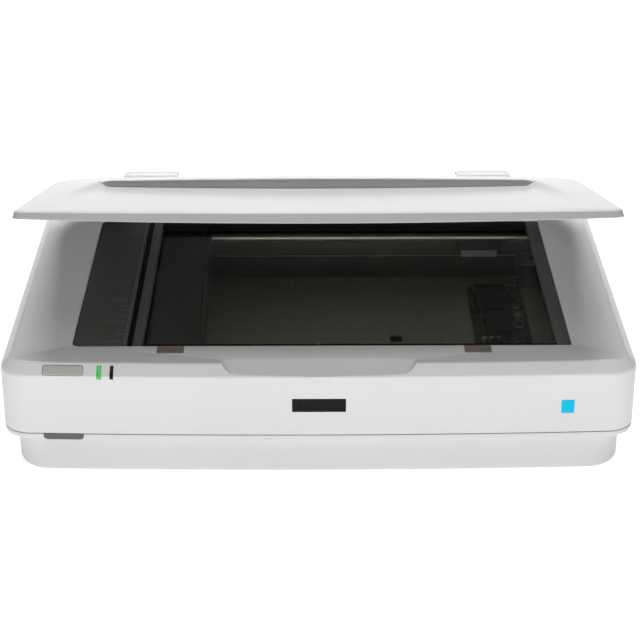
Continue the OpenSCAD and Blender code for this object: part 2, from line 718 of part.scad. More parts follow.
// Raised part behind the band: a grid of top points over a flat base
columns = 28;                   // cells across
rows = 6;                       // cells front to back
function upper(i, j) = i*(rows + 1) + j;
function lower(i, j) = (columns + 1)*(rows + 1) + upper(i, j);
module hump() let (
    top = [for (i = [0:columns], j = [0:rows])
      let (x = band_half*(2*i/columns - 1)*0.998,
           start = band_front(x) + 2.2,
           t = j/rows,
           y = start + (lid_y1 - 19 - start)*t,
           rise = (band_top(x)*(1 - pow(t, 1.6)) + 0.4)*(j == rows ? 0.2 : 1))
      [x, y, lid_top(y) - 0.3 + rise]],
    base = [for (p = top) [p[0], p[1], rim_z - 2]],
    across = [0:columns-1],
    along = [0:rows-1])
  polyhedron(concat(top, base), concat(
    [for (i = across, j = along) [upper(i, j), upper(i, j+1), upper(i+1, j+1)]],
    [for (i = across, j = along) [upper(i, j), upper(i+1, j+1), upper(i+1, j)]],
    [for (i = across, j = along) [lower(i, j), lower(i+1, j+1), lower(i, j+1)]],
    [for (i = across, j = along) [lower(i, j), lower(i+1, j), lower(i+1, j+1)]],
    [for (i = across) [upper(i, 0), upper(i+1, 0), lower(i+1, 0), lower(i, 0)]],
    [for (i = across) [upper(i+1, rows), upper(i, rows), lower(i, rows), lower(i+1, rows)]],
    [for (j = along) [upper(0, j+1), upper(0, j), lower(0, j), lower(0, j+1)]],
    [for (j = along) [upper(columns, j), upper(columns, j+1),
      lower(columns, j+1), lower(columns, j)]]));

module lid_shell() color("white") lid_pose() difference() {
  union() {
    // rounded slab, cut to the slope of the top
    intersection() {
      hull() {
        slab(lid_z) lid_plan(0.8);
        slab(lid_z + 1) lid_plan(0);
        slab(rim_z - 1.4) lid_plan(1.6);
        slab(rim_z - 0.4) lid_plan(2.2);
        slab(rim_z + lid_rise - thin) lid_plan(3.2);
      }
      rotate([90, 0, 90]) translate([0, 0, -lid_w/2]) linear_extrude(lid_w) polygon([
        [lid_y0 - 5, lid_z - 5], [lid_y1 + 5, lid_z - 5],
        [lid_y1 + 5, lid_top(lid_y1 + 5)], [lid_y0 - 5, lid_top(lid_y0 - 5)]]);
    }
    hump();
    // knuckles that carry the pins
    each_hinge(y = 0) for (k = sides) translate([k*knuckle_x - knuckle_w/2, 0, 0]) {
      x_cylinder([0, hinge_y, hinge_z], knuckle_w, knuckle_r);
      block([0, lid_y1 - 12, hinge_z - knuckle_r], [knuckle_w, hinge_y - lid_y1 + 12, 11.7]);
    }
  }
  // hollow underside for the tray
  slab(lid_z - 1, 8) lid_plan(3);
  each_hinge() x_cylinder([-30, 0, hinge_z], 60, hinge_bore);
}
module lid_tray() color([0.85, 0.86, 0.87]) lid_pose() difference() {
  slab(lid_z + 0.2, 6.6) lid_plan(3.2);
  slab(lid_z - 1, 3.2) mat_plan(0.5);
  at_each(lid_screw_at, lid_z - 1) {
    cylinder(h = 10, r = 1.6);
    cylinder(h = 2.4, r = 3.2);
  }
}
module mat_plan(grow) translate([(glass_x0 + glass_x1)/2, glass_mid_y])
  rounded(glass_w - 14 + 2*grow, glass_d - 34 + 2*grow, 6);
module document_mat() color("white") lid_pose() slab(lid_z - 0.3, 2.4) mat_plan(0);

// Curved wall cut to the band's front elevation
module crescent_band() color([0.42, 0.42, 0.44]) lid_pose() intersection() {
  translate([0, band_y + band_r, rim_z - 1]) difference() {
    cylinder(h = 20, r = band_r, $fn = 360);
    translate([0, 0, -1]) cylinder(h = 22, r = band_r - 2, $fn = 360);
  }
  rotate([90, 0, 0]) translate([0, 0, -200]) linear_extrude(400) polygon(concat(
    [for (i = [0:40]) let (x = band_half*(1 - 2*i/40)*0.995)
      [x, lid_top(band_front(x)) + band_top(x)]],
    [for (i = [0:40]) let (x = band_half*(2*i/40 - 1)*0.995)
      [x, lid_top(band_front(x)) + 0.05]]));
}

module hinge_covers() color([0.88, 0.88, 0.88]) lid_pose() each_hinge(y = 0) difference() {
  hull() {
    block([-32.3, lid_y1 - 17.5, lid_top(lid_y1)], [64.6, 20, thin]);
    block([-29.5, lid_y1 - 11, hinge_z + 9.7], [59, 18, thin]);
    x_cylinder([-32.3, hinge_y, hinge_z], 64.6, 9.3, 32);
  }
  // open below, so that it clears the post when the lid stands up
  rotate([90, 0, 90]) translate([0, 0, -40]) linear_extrude(80) polygon([
    [150, 100], [240, 100], [240, hinge_z + 30*tan(30)], [hinge_y, hinge_z],
    [lid_y1 + 0.25, hinge_z], [lid_y1 + 0.25, lid_top(lid_y1) + 0.1],
    [150, lid_top(lid_y1) + 0.1]]);
  x_cylinder([-29.8, hinge_y, hinge_z], 59.6, 7.3);
  // room for the knuckles
  for (k = sides)
    block([k*knuckle_x - 3.7, lid_y1 - 13, hinge_z - 7], [7.4, hinge_y - lid_y1 + 13, 12.3]);
}
module lid_screws() color("silver") lid_pose() at_each(lid_screw_at, lid_z + 1.4)
  mirror([0, 0, 1]) screw(5, 1.55, 3, 1.2);

lower_housing();
upper_housing();
document_glass();
glass_frame();
scale_plate();
lid_rest_pads();
white_reference_strip();
chassis_plate();
guide_rod();
rod_brackets();
front_rail();
drive_belt();
idler_bracket();
tension_spring();
stepper_motor();
motor_bracket();
main_board();
motor_driver_board();
power_supply();
mains_inlet();
data_port();
accessory_port();
rubber_feet();
badge_plate();
blue_label();
green_light();
dark_light();
button_board();
housing_screws();
chassis_screws();
power_switch();
flat_cable();
hinge_sockets();
carriage_frame();
carriage_cover();
light_bar();
mirrors();
lens_barrel();
sensor_board();
rod_bushes();
front_slider();
belt_clamp();
drive_pulley();
motor_pinion();
idler_pulley();
start_button();
power_button();
transport_lock();
hinge_posts();
hinge_pins();
lid_shell();
lid_tray();
crescent_band();
document_mat();
hinge_covers();
hinge_springs();
lid_screws();
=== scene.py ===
# Flatbed scanner with its lid ajar: meshes, materials, studio and camera.
# Lengths are millimetres (meshes are stored in metres). +X is the right side seen
# from the front, -Y is the front, +Z is up, and the floor is z = 0.
import json
from math import asin, atan2, cos, hypot, pi, radians, sin, sqrt, tan

import bmesh
import bpy
from mathutils import Matrix, Vector


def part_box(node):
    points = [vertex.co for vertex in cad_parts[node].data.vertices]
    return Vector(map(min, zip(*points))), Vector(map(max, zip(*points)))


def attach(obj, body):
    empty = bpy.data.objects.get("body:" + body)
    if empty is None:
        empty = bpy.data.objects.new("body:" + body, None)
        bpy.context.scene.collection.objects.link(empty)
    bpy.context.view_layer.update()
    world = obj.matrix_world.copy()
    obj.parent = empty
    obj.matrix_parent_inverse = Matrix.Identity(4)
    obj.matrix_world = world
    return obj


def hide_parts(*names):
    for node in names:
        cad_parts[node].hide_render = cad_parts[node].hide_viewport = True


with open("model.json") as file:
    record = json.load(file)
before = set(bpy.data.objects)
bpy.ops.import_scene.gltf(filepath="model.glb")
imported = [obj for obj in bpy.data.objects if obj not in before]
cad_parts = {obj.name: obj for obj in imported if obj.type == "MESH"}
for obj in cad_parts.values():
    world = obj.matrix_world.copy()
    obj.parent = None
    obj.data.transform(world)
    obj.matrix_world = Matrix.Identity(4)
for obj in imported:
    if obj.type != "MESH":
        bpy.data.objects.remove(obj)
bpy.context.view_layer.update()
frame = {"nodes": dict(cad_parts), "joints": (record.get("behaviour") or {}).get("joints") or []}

MM = 0.001


def node_box(node):
    return [[value * 1000 for value in corner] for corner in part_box(node)]


def move(x, y, z=0):
    return Matrix.Translation(Vector((x, y, z)))


def turn(angle, axis):
    return Matrix.Rotation(angle, 4, axis)


# ---------------------------------------------------------------- driving sizes
UPPER_LO, UPPER_HI = node_box("upper_housing")
WIDTH = UPPER_HI[0] - UPPER_LO[0]
FRONT, REAR = UPPER_LO[1], UPPER_HI[1]
SEAM, TOP = UPPER_LO[2], UPPER_HI[2]        # upper housing rests on the lower at SEAM
TUB_Z = node_box("lower_housing")[0][2]     # underside of the lower housing
BEVEL = 11.0                                # 45 degree bevel along the top edge
SHOULDER = TOP - BEVEL
BOW = 7400.0                                # plan radius of the bowed front
PLATE_Z = TOP - 3.0                         # underside of the top plate

# Opening in the top plate, round the document glass
OPEN_X0, OPEN_X1, OPEN_Y0, OPEN_Y1 = -200.0, 263.0, -178.0, 154.0
OPEN_W, OPEN_D = OPEN_X1 - OPEN_X0, OPEN_Y1 - OPEN_Y0
OPEN_CX, OPEN_CY = (OPEN_X0 + OPEN_X1) / 2, (OPEN_Y0 + OPEN_Y1) / 2

LID_JOINT = next(joint for joint in frame["joints"] if joint["name"] == "lid_hinge")
HINGE_X = 200.0
HINGE_Y, HINGE_Z = (value * 1000 for value in LID_JOINT["pos_m"][1:3])
SHUT_Z = HINGE_Z - 21.8                     # hinge axis with the posts pushed down
TILT = radians(16.7)

# The lid is drawn shut and LID_POSE opens it
LID_Z = TOP + 1.0
LID_W, LID_Y0, LID_Y1 = 620.0, -205.0, 201.0
LID_BOW, LID_FRONT_R, LID_REAR_R = 2700.0, 12.0, 76.0
RIM_Z, RIM_RISE = LID_Z + 11.3, 0.8         # rim height in front, and its rise to the rear
BAND_R, BAND_H, BAND_HALF_W = 1130.0, 11.5, 251.5
BAND_Y = LID_Y0 + 255
MAT_W, MAT_D = OPEN_W - 14, OPEN_D - 34
LID_POSE = move(0, HINGE_Y, HINGE_Z) @ turn(-TILT, "X") @ move(0, -HINGE_Y, -SHUT_Z)

# Parts that also shape their openings
SLOT_GAP = 0.4                              # an opening is this much larger than its part
START_X, START_W, START_D = -261.2, 40.8, 10.8
POWER_X, POWER_HALF_W = -263.5, 20.4
GREEN_LIGHT, DARK_LIGHT = (-224, 4.3), (-211.1, 3.3)      # x, width
BADGE_W, BADGE_H = 55, 15
LABEL_W, LABEL_H = 13.3, 15.1
POST_W = 44
HOUSING_SCREWS = [(side * 320, y) for side in (-1, 1) for y in (-140, 5, 150)]
LID_SCREWS = ((-280, -150), (280, -150), (-262, 150), (262, 150))


# ---------------------------------------------------------------- mesh helpers
def add_object(name, data):
    obj = bpy.data.objects.new(name, data)
    bpy.context.scene.collection.objects.link(obj)
    return obj


def discard(obj):
    data = obj.data
    bpy.data.objects.remove(obj)
    bpy.data.meshes.remove(data)


def mesh_object(name, verts, faces, pose=None):
    mesh = bpy.data.meshes.new(name)
    points = [Vector(vert) for vert in verts]
    if pose is not None:
        points = [pose @ point for point in points]
    mesh.from_pydata([tuple(point * MM) for point in points], [], faces)
    mesh.validate()
    return add_object(name, mesh)


def clean_object(name, verts, faces, pose=None):
    """Mesh object with doubles merged and normals facing outwards."""
    obj = mesh_object(name, verts, faces, pose)
    bm = bmesh.new()
    bm.from_mesh(obj.data)
    bmesh.ops.remove_doubles(bm, verts=bm.verts, dist=1e-7)
    bmesh.ops.recalc_face_normals(bm, faces=bm.faces)
    bm.to_mesh(obj.data)
    bm.free()
    obj.data.update()
    return obj


def loft(rings, pose=None, name="part", closed=False, flip=False):
    """Skin over rings of points. Closed joins the last ring to the first, else both
    ends are capped. Flip winds the faces the other way."""
    total, count = len(rings), len(rings[0])
    faces = []
    for i in range(total if closed else total - 1):
        here, there = i * count, (i + 1) % total * count
        for j in range(count):
            k = (j + 1) % count
            if flip:
                faces.append((here + j, there + j, there + k, here + k))
            else:
                faces.append((here + j, here + k, there + k, there + j))
    if not closed:
        caps = [tuple(range(count)), tuple(range((total - 1) * count, total * count))]
        caps[flip] = caps[flip][::-1]
        faces += caps
    return clean_object(name, [point for ring in rings for point in ring], faces, pose)


def apply_modifiers(obj):
    bpy.context.view_layer.update()
    graph = bpy.context.evaluated_depsgraph_get()
    mesh = bpy.data.meshes.new_from_object(
        obj.evaluated_get(graph), preserve_all_data_layers=True, depsgraph=graph)
    obj.modifiers.clear()
    old = obj.data
    obj.data = mesh
    mesh.name = obj.name
    bpy.data.meshes.remove(old)


def cut(obj, cutter, operation="DIFFERENCE"):
    mod = obj.modifiers.new("boolean", "BOOLEAN")
    mod.operation = operation
    mod.solver = "EXACT"
    mod.object = cutter
    apply_modifiers(obj)
    discard(cutter)


def bevel(obj, width, segments=2, angle=34):
    mod = obj.modifiers.new("bevel", "BEVEL")
    mod.width = width * MM
    mod.segments = segments
    mod.limit_method = "ANGLE"
    mod.angle_limit = radians(angle)
    mod.miter_outer = "MITER_ARC"
    apply_modifiers(obj)


def join(name, parts):
    bm = bmesh.new()
    for part in parts:
        bm.from_mesh(part.data)
    mesh = bpy.data.meshes.new(name)
    bm.to_mesh(mesh)
    bm.free()
    for part in parts:
        discard(part)
    return add_object(name, mesh)


def finish(obj, body, slot, material, *replaced, smooth=None):
    if smooth:
        for face in obj.data.polygons:
            face.use_smooth = True
        obj.data.set_sharp_from_angle(angle=radians(smooth))
    if material:
        obj.data.materials.clear()
        obj.data.materials.append(MATERIALS[material])
    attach(obj, body)
    if replaced:
        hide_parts(*replaced)


def paint_inner_shade(obj, z0, z1, groove=False):
    """Painted shade: dark material on wall faces that look inwards, and optionally in the seam
    groove, for the shade there.
    """
    obj.data.materials.append(MATERIALS["inner_shade_paint"])
    for face in obj.data.polygons:
        at, normal = face.center * 1000, face.normal
        # painted shadow in the seam groove
        if groove and SEAM - 1.12 < at.z < SEAM + 0.05 and abs(normal.z) < 0.99:
            face.material_index = 1
        # painted shade on the inward-facing walls
        inward = (at.x * normal.x + at.y * normal.y) / hypot(at.x, at.y) < -0.3
        if z0 < at.z < z1 and abs(at.x) < 326 and abs(at.y) < 228 and inward:
            face.material_index = 1


# ---------------------------------------------------------------- plan shapes
def level(points, z):
    return [(x, y, z) for x, y in points]


def arc(cx, cy, radius, start, sweep, steps, skip=0, drop=0):
    """Arc points; skip leaves out that many at the start, drop at the end."""
    angles = [start + sweep * k / steps for k in range(skip, steps + 1 - drop)]
    return [(cx + radius * cos(angle), cy + radius * sin(angle)) for angle in angles]


def circle(radius, count, cx=0, cy=0):
    angles = [k * pi / (count / 2) for k in range(count)]
    return [(cx + radius * cos(angle), cy + radius * sin(angle)) for angle in angles]


def rounded(width, depth, radius, steps=8, cx=0, cy=0):
    """Rectangle with rounded corners, counter-clockwise from the front right corner."""
    points = []
    for sx, sy, start in ((1, -1, -90), (1, 1, 0), (-1, 1, 90), (-1, -1, 180)):
        for k in range(steps + 1):
            angle = radians(start + 90 * k / steps)
            points.append((cx + sx * (width / 2 - radius) + radius * cos(angle),
                           cy + sy * (depth / 2 - radius) + radius * sin(angle)))
    return points


def bowed_front(width, y0, bow, corner, inset, bow_steps, corner_steps):
    """Left corner, bowed front and right corner, and the y where the sides begin."""
    corner = max(corner, inset + 1.0)
    bow_y = y0 + bow
    cx = width / 2 - corner
    cy = bow_y - sqrt((bow - corner) ** 2 - cx * cx)
    half = atan2(cx, bow_y - cy)
    radius = corner - inset
    left = arc(-cx, cy, radius, pi, pi / 2 - half, corner_steps, drop=1)
    front = arc(0, bow_y, bow - inset, -pi / 2 - half, 2 * half, bow_steps)
    right = arc(cx, cy, radius, -pi / 2 + half, pi / 2 - half, corner_steps, skip=1)
    return left, front, right, cy


def outline(width, y0, y1, bow, front_r, rear_r, inset, front=72, corner=18, side=10):
    """Bow-fronted outline with round corners, counter-clockwise from front left."""
    left, points, right, cy = bowed_front(width, y0, bow, front_r, inset, front, corner)
    edge = width / 2 - inset
    rear_x, rear_y = width / 2 - rear_r, y1 - rear_r
    points += right
    points += [(edge, cy + (rear_y - cy) * k / side) for k in range(1, side)]
    points += arc(rear_x, rear_y, rear_r - inset, 0, pi / 2, corner)
    points += [(rear_x * (1 - 2 * k / side), y1 - inset) for k in range(1, side)]
    points += arc(-rear_x, rear_y, rear_r - inset, pi / 2, pi / 2, corner)
    points += [(-edge, rear_y + (cy - rear_y) * k / side) for k in range(1, side)]
    return points + left


def body_ring(inset, z, **steps):
    return level(outline(WIDTH, FRONT, REAR, BOW, 30, 24, inset, **steps), z)


def tub_ring(inset, z, **steps):
    return level(outline(WIDTH - 24, FRONT + 8, REAR - 4, BOW, 34, 22, inset, **steps), z)


def lid_ring(inset, z):
    return level(outline(LID_W, LID_Y0, LID_Y1, LID_BOW, LID_FRONT_R, LID_REAR_R, inset,
                         front=60, corner=12, side=8), z)


def scale_outline(gap, steps, right_x):
    """Left strip of the opening: rounded at the left, square at the right."""
    ends = rounded(56 + 2 * gap, OPEN_D + 2 * gap, 8, steps, -228, OPEN_CY)
    return ([(right_x, OPEN_Y0 - gap), (right_x, OPEN_Y1 + gap)]
            + [(x, y) for x, y in ends if x < -228])


# ---------------------------------------------------------------- solids
def prism(points, z0, z1, pose=None, name="part"):
    return loft([level(points, z0), level(points, z1)], pose, name)


def box(x0, x1, y0, y1, z0, z1, pose=None):
    return prism([(x0, y0), (x1, y0), (x1, y1), (x0, y1)], z0, z1, pose)


def pillow(width, depth, radius, z0, z1, edge, crown=0.0, pose=None, name="part",
           corner=8, steps=5):
    """Rounded block: straight sides, rolled top edge, slightly crowned top."""
    rings = [level(rounded(width, depth, radius, corner), z0)]
    for k in range(steps + 1):
        angle = pi / 2 * k / steps
        inset = edge - edge * cos(angle)
        ring = rounded(width - 2 * inset, depth - 2 * inset, max(radius - inset, 0.05), corner)
        rings.append(level(ring, z1 - edge - crown + edge * sin(angle)))
    for part in (0.7, 0.4, 0.12):
        ring = rounded((width - 2 * edge) * part, (depth - 2 * edge) * part,
                       max((radius - edge) * part, 0.02), corner)
        rings.append(level(ring, z1 - crown * part * part))
    return loft(rings, pose, name)


def revolve(profile, steps=48, pose=None):
    """Closed profile of (radius, z) turned about Z."""
    rings = []
    for k in range(steps):
        angle = 2 * pi * k / steps
        rings.append([(radius * cos(angle), radius * sin(angle), z) for radius, z in profile])
    return loft(rings, pose, closed=True, flip=True)


def helix(radius, z0, rise, steps, per_turn):
    return [(radius * cos(2 * pi * k / per_turn), radius * sin(2 * pi * k / per_turn),
             z0 + rise * k / steps) for k in range(steps + 1)]


def wire(path, radius, pose, name="part", sides=10):
    """Round wire along a list of points, closed at both ends."""
    rings = []
    points = [Vector(point) for point in path]
    across = None
    for i, point in enumerate(points):
        along = (points[min(i + 1, len(points) - 1)] - points[max(i - 1, 0)]).normalized()
        if across is None:
            upright = Vector((0, 0, 1)) if abs(along.z) < 0.9 else Vector((1, 0, 0))
            across = along.cross(upright).normalized()
        else:
            across = (across - along * across.dot(along)).normalized()
        third = along.cross(across)
        rings.append([tuple(point + across * radius * cos(2 * pi * k / sides)
                            + third * radius * sin(2 * pi * k / sides))
                      for k in range(sides)])
    return loft(rings, pose, name)


def axis_x(x, y, z):
    """Turns local Z onto +X, with the origin at x, y, z."""
    return move(x, y, z) @ turn(pi / 2, "Y")


def at_face(x, z):
    """Square to the bowed front face: local -Y points out of it."""
    bow_in = BOW - sqrt(BOW * BOW - x * x)
    return move(x, FRONT + bow_in, z) @ turn(asin(x / BOW), "Z")


def on_face(x, z):
    """Local Z points out of the front face."""
    return at_face(x, z) @ turn(pi / 2, "X")


def on_bevel(x):
    """Local Z points out of the middle of the front bevel."""
    return at_face(x, SHOULDER) @ move(0, BEVEL / 2, BEVEL / 2) @ turn(pi / 4, "X")


# ---------------------------------------------------------------- materials
MATERIALS = {}
INPUTS = {"color": "Base Color", "rough": "Roughness", "normal": "Normal",
          "metal": "Metallic", "spec": "Specular IOR Level", "coat": "Coat Weight",
          "coat_rough": "Coat Roughness", "emit": "Emission Color",
          "emit_strength": "Emission Strength"}


def add_node(tree, kind, inputs=(), **settings):
    """New shader node; each input takes a number, a colour or a socket to link."""
    node = tree.nodes.new("ShaderNode" + kind)
    for key, value in settings.items():
        setattr(node, key, value)
    fill(tree, node, dict(inputs))
    return node


def fill(tree, node, inputs):
    for key, value in inputs.items():
        if isinstance(value, bpy.types.NodeSocket):
            tree.links.new(value, node.inputs[key])
        else:
            node.inputs[key].default_value = (*value, 1) if isinstance(value, tuple) else value


def tint(color, factor):
    return tuple(min(1.0, channel * factor) for channel in color)


class Shader:
    """Node graph of one material, with patterns in object coordinates."""

    def __init__(self, name):
        material = MATERIALS[name] = bpy.data.materials.new(name)
        material.use_nodes = True
        self.tree = material.node_tree
        self.tree.nodes.clear()
        self.coords = self.node("TexCoord").outputs["Object"]

    def node(self, kind, inputs=(), **settings):
        return add_node(self.tree, kind, inputs, **settings)

    def noise(self, scale, detail=3, rough=0.5, vector=None, distortion=0.0):
        return self.node("TexNoise", {
            "Scale": scale, "Detail": detail, "Roughness": rough, "Distortion": distortion,
            "Vector": vector or self.coords}).outputs["Fac"]

    def remap(self, value, low=0.0, high=1.0, start=0.3, stop=0.7):
        """Maps start..stop onto low..high."""
        return self.node("MapRange", {0: value, 1: start, 2: stop, 3: low, 4: high}).outputs[0]

    def mix(self, factor, first, second):
        inputs = {0: factor, 6: first, 7: second}
        return self.node("Mix", inputs, data_type="RGBA").outputs[2]

    def times(self, first, second):
        return self.node("Math", {0: first, 1: second}, operation="MULTIPLY").outputs[0]

    def bump(self, height, strength, distance, normal=None):
        inputs = {"Strength": strength, "Distance": distance, "Height": height}
        if normal is not None:
            inputs["Normal"] = normal
        return self.node("Bump", inputs).outputs[0]

    def pointiness(self, **limits):
        return self.remap(self.node("NewGeometry").outputs["Pointiness"], **limits)

    def output(self, shader):
        self.node("OutputMaterial", {0: shader})

    def surface(self, **values):
        inputs = {INPUTS[key]: value for key, value in values.items()}
        self.principled = self.node("BsdfPrincipled", inputs)
        self.output(self.principled.outputs[0])


def moulded(name, color, rough=0.38, var=0.02, grain=2600.0, bump=0.06, coat=0.0, spec=0.5,
            scuff=0.5, dark=0.86):
    """Moulded plastic: fine grain, slow tone drift, faint scuffs, painted shade in the
    hollows, and polished edges."""
    s = Shader(name)
    drift = s.noise(scale=3.5, detail=4, rough=0.6)
    speck = s.noise(scale=900, detail=2)
    base = s.mix(s.remap(drift), tint(color, 1 - var), tint(color, 1 + var))
    base = s.mix(s.remap(speck, high=0.06, start=0.55, stop=0.8), base, tint(color, 0.8))
    wear = s.pointiness(start=0.515, stop=0.60)
    base = s.mix(s.times(wear, 0.25), base, tint(color, 1.06))
    # painted shade: hollows are darkened towards the tint dark, standing in for the shade there
    hollow = s.pointiness(low=1.0, high=0.0, start=0.40, stop=0.49)
    base = s.mix(s.times(hollow, 0.35), base, tint(color, dark))
    scuffs = s.noise(scale=28, detail=6, rough=0.7, distortion=0.6)
    fine = s.bump(s.noise(scale=grain, detail=2), strength=bump, distance=0.00012)
    slow = s.noise(scale=14, detail=2, rough=0.4)
    s.surface(color=base, coat=coat, coat_rough=0.12, spec=spec,
              rough=s.remap(scuffs, rough - 0.05 * scuff, rough + 0.09 * scuff, stop=0.75),
              normal=s.bump(slow, strength=0.018, distance=0.0015, normal=fine))
    return s


def metal(name, color, rough, brushed=0.0, axis=0, bump=0.05, wear=0.1):
    """Blotched metal with worn edges; brushed stretches the streaks along an axis."""
    s = Shader(name)
    scale = [60.0] * 3
    if brushed:
        scale = [2500.0] * 3
        scale[axis] = 14.0
    mapping = s.node("Mapping", {0: s.coords, "Scale": scale})
    streaks = s.noise(scale=1.0, detail=4, rough=0.6, vector=mapping.outputs[0])
    blotches = s.noise(scale=30, detail=4, rough=0.6)
    base = s.mix(s.remap(blotches, start=0.35), tint(color, 0.9), tint(color, 1.06))
    edges = s.pointiness(start=0.52, stop=0.6)
    base = s.mix(s.times(edges, wear), base, tint(color, 1.3))
    s.surface(color=base, metal=1.0, rough=s.remap(streaks, rough - 0.06, rough + 0.10),
              normal=s.bump(streaks, strength=bump + brushed * 0.1, distance=0.00008))


def sheet_paint():
    s = Shader("dark_sheet")
    base = s.mix(s.remap(s.noise(scale=6, detail=4)), (0.33, 0.33, 0.295), (0.39, 0.39, 0.35))
    edges = s.pointiness(start=0.53, stop=0.62)
    base = s.mix(s.times(edges, 0.4), base, (0.3, 0.3, 0.31))
    grain = s.noise(scale=1600, detail=3, rough=0.6)
    s.surface(color=base, rough=s.remap(s.noise(scale=60, detail=5), 0.42, 0.58), metal=0.3,
              normal=s.bump(grain, strength=0.22, distance=0.00012))


def smoky_gloss():
    s = Shader("smoky_gloss")
    base = s.mix(s.remap(s.noise(scale=4)), (0.45, 0.45, 0.44), (0.50, 0.50, 0.49))
    s.surface(color=base, rough=s.remap(s.noise(scale=40, detail=5), 0.10, 0.18),
              coat=0.8, coat_rough=0.04,
              normal=s.bump(s.noise(scale=1200, detail=2), strength=0.02, distance=0.0001))


def gloss_plate(name, color, rough, spec, coat):
    s = Shader(name)
    base = s.mix(s.remap(s.noise(scale=40, detail=4)), tint(color, 0.92), color)
    s.surface(color=base, rough=s.remap(s.noise(scale=120, detail=5), rough, rough + 0.1),
              coat=coat, coat_rough=0.06, spec=spec,
              normal=s.bump(s.noise(scale=900, detail=2), strength=0.02, distance=0.0001))


def green_lens():
    s = Shader("lens_green")
    base = s.mix(s.remap(s.noise(scale=300)), (0.045, 0.60, 0.06), (0.06, 0.70, 0.10))
    s.surface(color=base, rough=s.remap(s.noise(scale=500, detail=2), 0.12, 0.22),
              coat=0.5, emit=base, emit_strength=0.12,
              normal=s.bump(s.noise(scale=900, detail=2), strength=0.03, distance=0.0001))


def clear_glass():
    """Transparent with a faint, smudged reflection."""
    s = Shader("document_glass")
    color = s.mix(s.remap(s.noise(scale=5, detail=2)), (0.93, 0.935, 0.90), (0.95, 0.955, 0.925))
    smudge = s.noise(scale=9, detail=5, rough=0.65, distortion=0.8)
    clear = s.node("BsdfTransparent", {0: color})
    shine = s.node("BsdfGlossy", {
        "Roughness": s.remap(smudge, low=0.015, high=0.05, start=0.4, stop=0.75)})
    fresnel = s.node("Fresnel", {"IOR": 1.5})
    amount = s.times(fresnel.outputs[0], 0.05)
    s.output(s.node("MixShader", {
        0: amount, 1: clear.outputs[0], 2: shine.outputs[0]}).outputs[0])


def mirror_glass():
    s = Shader("mirror_glass")
    base = s.mix(s.remap(s.noise(scale=30)), (0.80, 0.83, 0.85), (0.86, 0.88, 0.90))
    s.surface(color=base, metal=1.0, rough=s.remap(s.noise(scale=80, detail=4), 0.02, 0.06),
              normal=s.bump(s.noise(scale=20, detail=2), strength=0.01, distance=0.0002))


def circuit(name, board, track, pad):
    """Board lacquer with a brick pattern of tracks and small solder dots."""
    s = Shader(name)
    bricks = s.node("TexBrick", {
        "Vector": s.coords, "Scale": 90, "Mortar Size": 0.06, "Color1": board,
        "Color2": tint(board, 0.85), "Mortar": track})
    cells = s.node("TexVoronoi", {"Vector": s.coords, "Scale": 320})
    dots = s.remap(cells.outputs["Distance"], low=1.0, high=0.0, start=0.10, stop=0.16)
    s.surface(color=s.mix(s.times(dots, 0.7), bricks.outputs["Color"], pad),
              rough=s.remap(s.noise(scale=60, detail=4), 0.30, 0.45), coat=0.3,
              normal=s.bump(bricks.outputs["Fac"], strength=0.15, distance=0.0001))


def paper_floor():
    """Glows a little, more so to the camera: near white, softly lighting the case."""
    s = moulded("floor_white", (0.90, 0.90, 0.90), rough=0.9, bump=0.0, var=0.004, scuff=0.2,
                spec=0.1)
    seen = s.times(s.node("LightPath").outputs["Is Camera Ray"], 0.36)
    glow = s.node("Math", {0: seen, 1: 0.28}, operation="ADD").outputs[0]
    fill(s.tree, s.principled, {"Emission Strength": glow, "Emission Color": (1, 1, 1)})


moulded("case_white", (0.80, 0.80, 0.795), rough=0.34, coat=0.12, bump=0.05)
moulded("tub_white", (0.78, 0.78, 0.775), rough=0.42, bump=0.10)
moulded("lid_white", (0.80, 0.80, 0.80), rough=0.30, coat=0.20, bump=0.04)
moulded("tray_grey", (0.62, 0.63, 0.64), rough=0.5, bump=0.12)
moulded("mat_foam", (0.84, 0.84, 0.83), rough=0.75, grain=1500, bump=0.25, var=0.015, scuff=0.3)
moulded("frame_black", (0.004, 0.004, 0.004), rough=0.6, bump=0.12, dark=0.6, spec=0.06)
# painted shade: the light ledges beside the glass as they look in shade
moulded("ledge_shade_paint", (0.085, 0.092, 0.085), rough=0.5, bump=0.1, spec=0.3)
moulded("dark_plastic", (0.035, 0.036, 0.038), rough=0.5, bump=0.18, dark=0.6)
moulded("hinge_grey", (0.46, 0.47, 0.48), rough=0.42, bump=0.12)
moulded("cover_grey", (0.84, 0.845, 0.85), rough=0.40, bump=0.08)
moulded("start_grey", (0.52, 0.505, 0.465), rough=0.42, bump=0.10)
moulded("power_grey", (0.125, 0.125, 0.122), rough=0.38, bump=0.10)
moulded("pad_rubber", (0.20, 0.175, 0.135), rough=0.7, bump=0.3, grain=1800)
moulded("rubber_black", (0.02, 0.02, 0.021), rough=0.78, bump=0.35, grain=1400)
moulded("acetal", (0.62, 0.60, 0.54), rough=0.40, bump=0.06)
moulded("white_plastic", (0.72, 0.72, 0.71), rough=0.5, bump=0.08)
moulded("lock_blue", (0.07, 0.17, 0.38), rough=0.45, bump=0.1)
moulded("cable_white", (0.62, 0.62, 0.58), rough=0.45, bump=0.05)
moulded("scale_grey", (0.064, 0.064, 0.056), rough=0.45, bump=0.08, var=0.05, spec=0.2)
moulded("scale_mark", (0.17, 0.172, 0.165), rough=0.5, bump=0.05)
metal("rod_steel", (0.78, 0.79, 0.80), rough=0.16, brushed=0.3)
metal("guide_steel", (0.40, 0.40, 0.37), rough=0.42, bump=0.0, wear=0.0)
metal("zinc_sheet", (0.55, 0.56, 0.58), rough=0.36)
metal("screw_zinc", (0.66, 0.66, 0.66), rough=0.30)
metal("spring_wire", (0.62, 0.63, 0.64), rough=0.28)
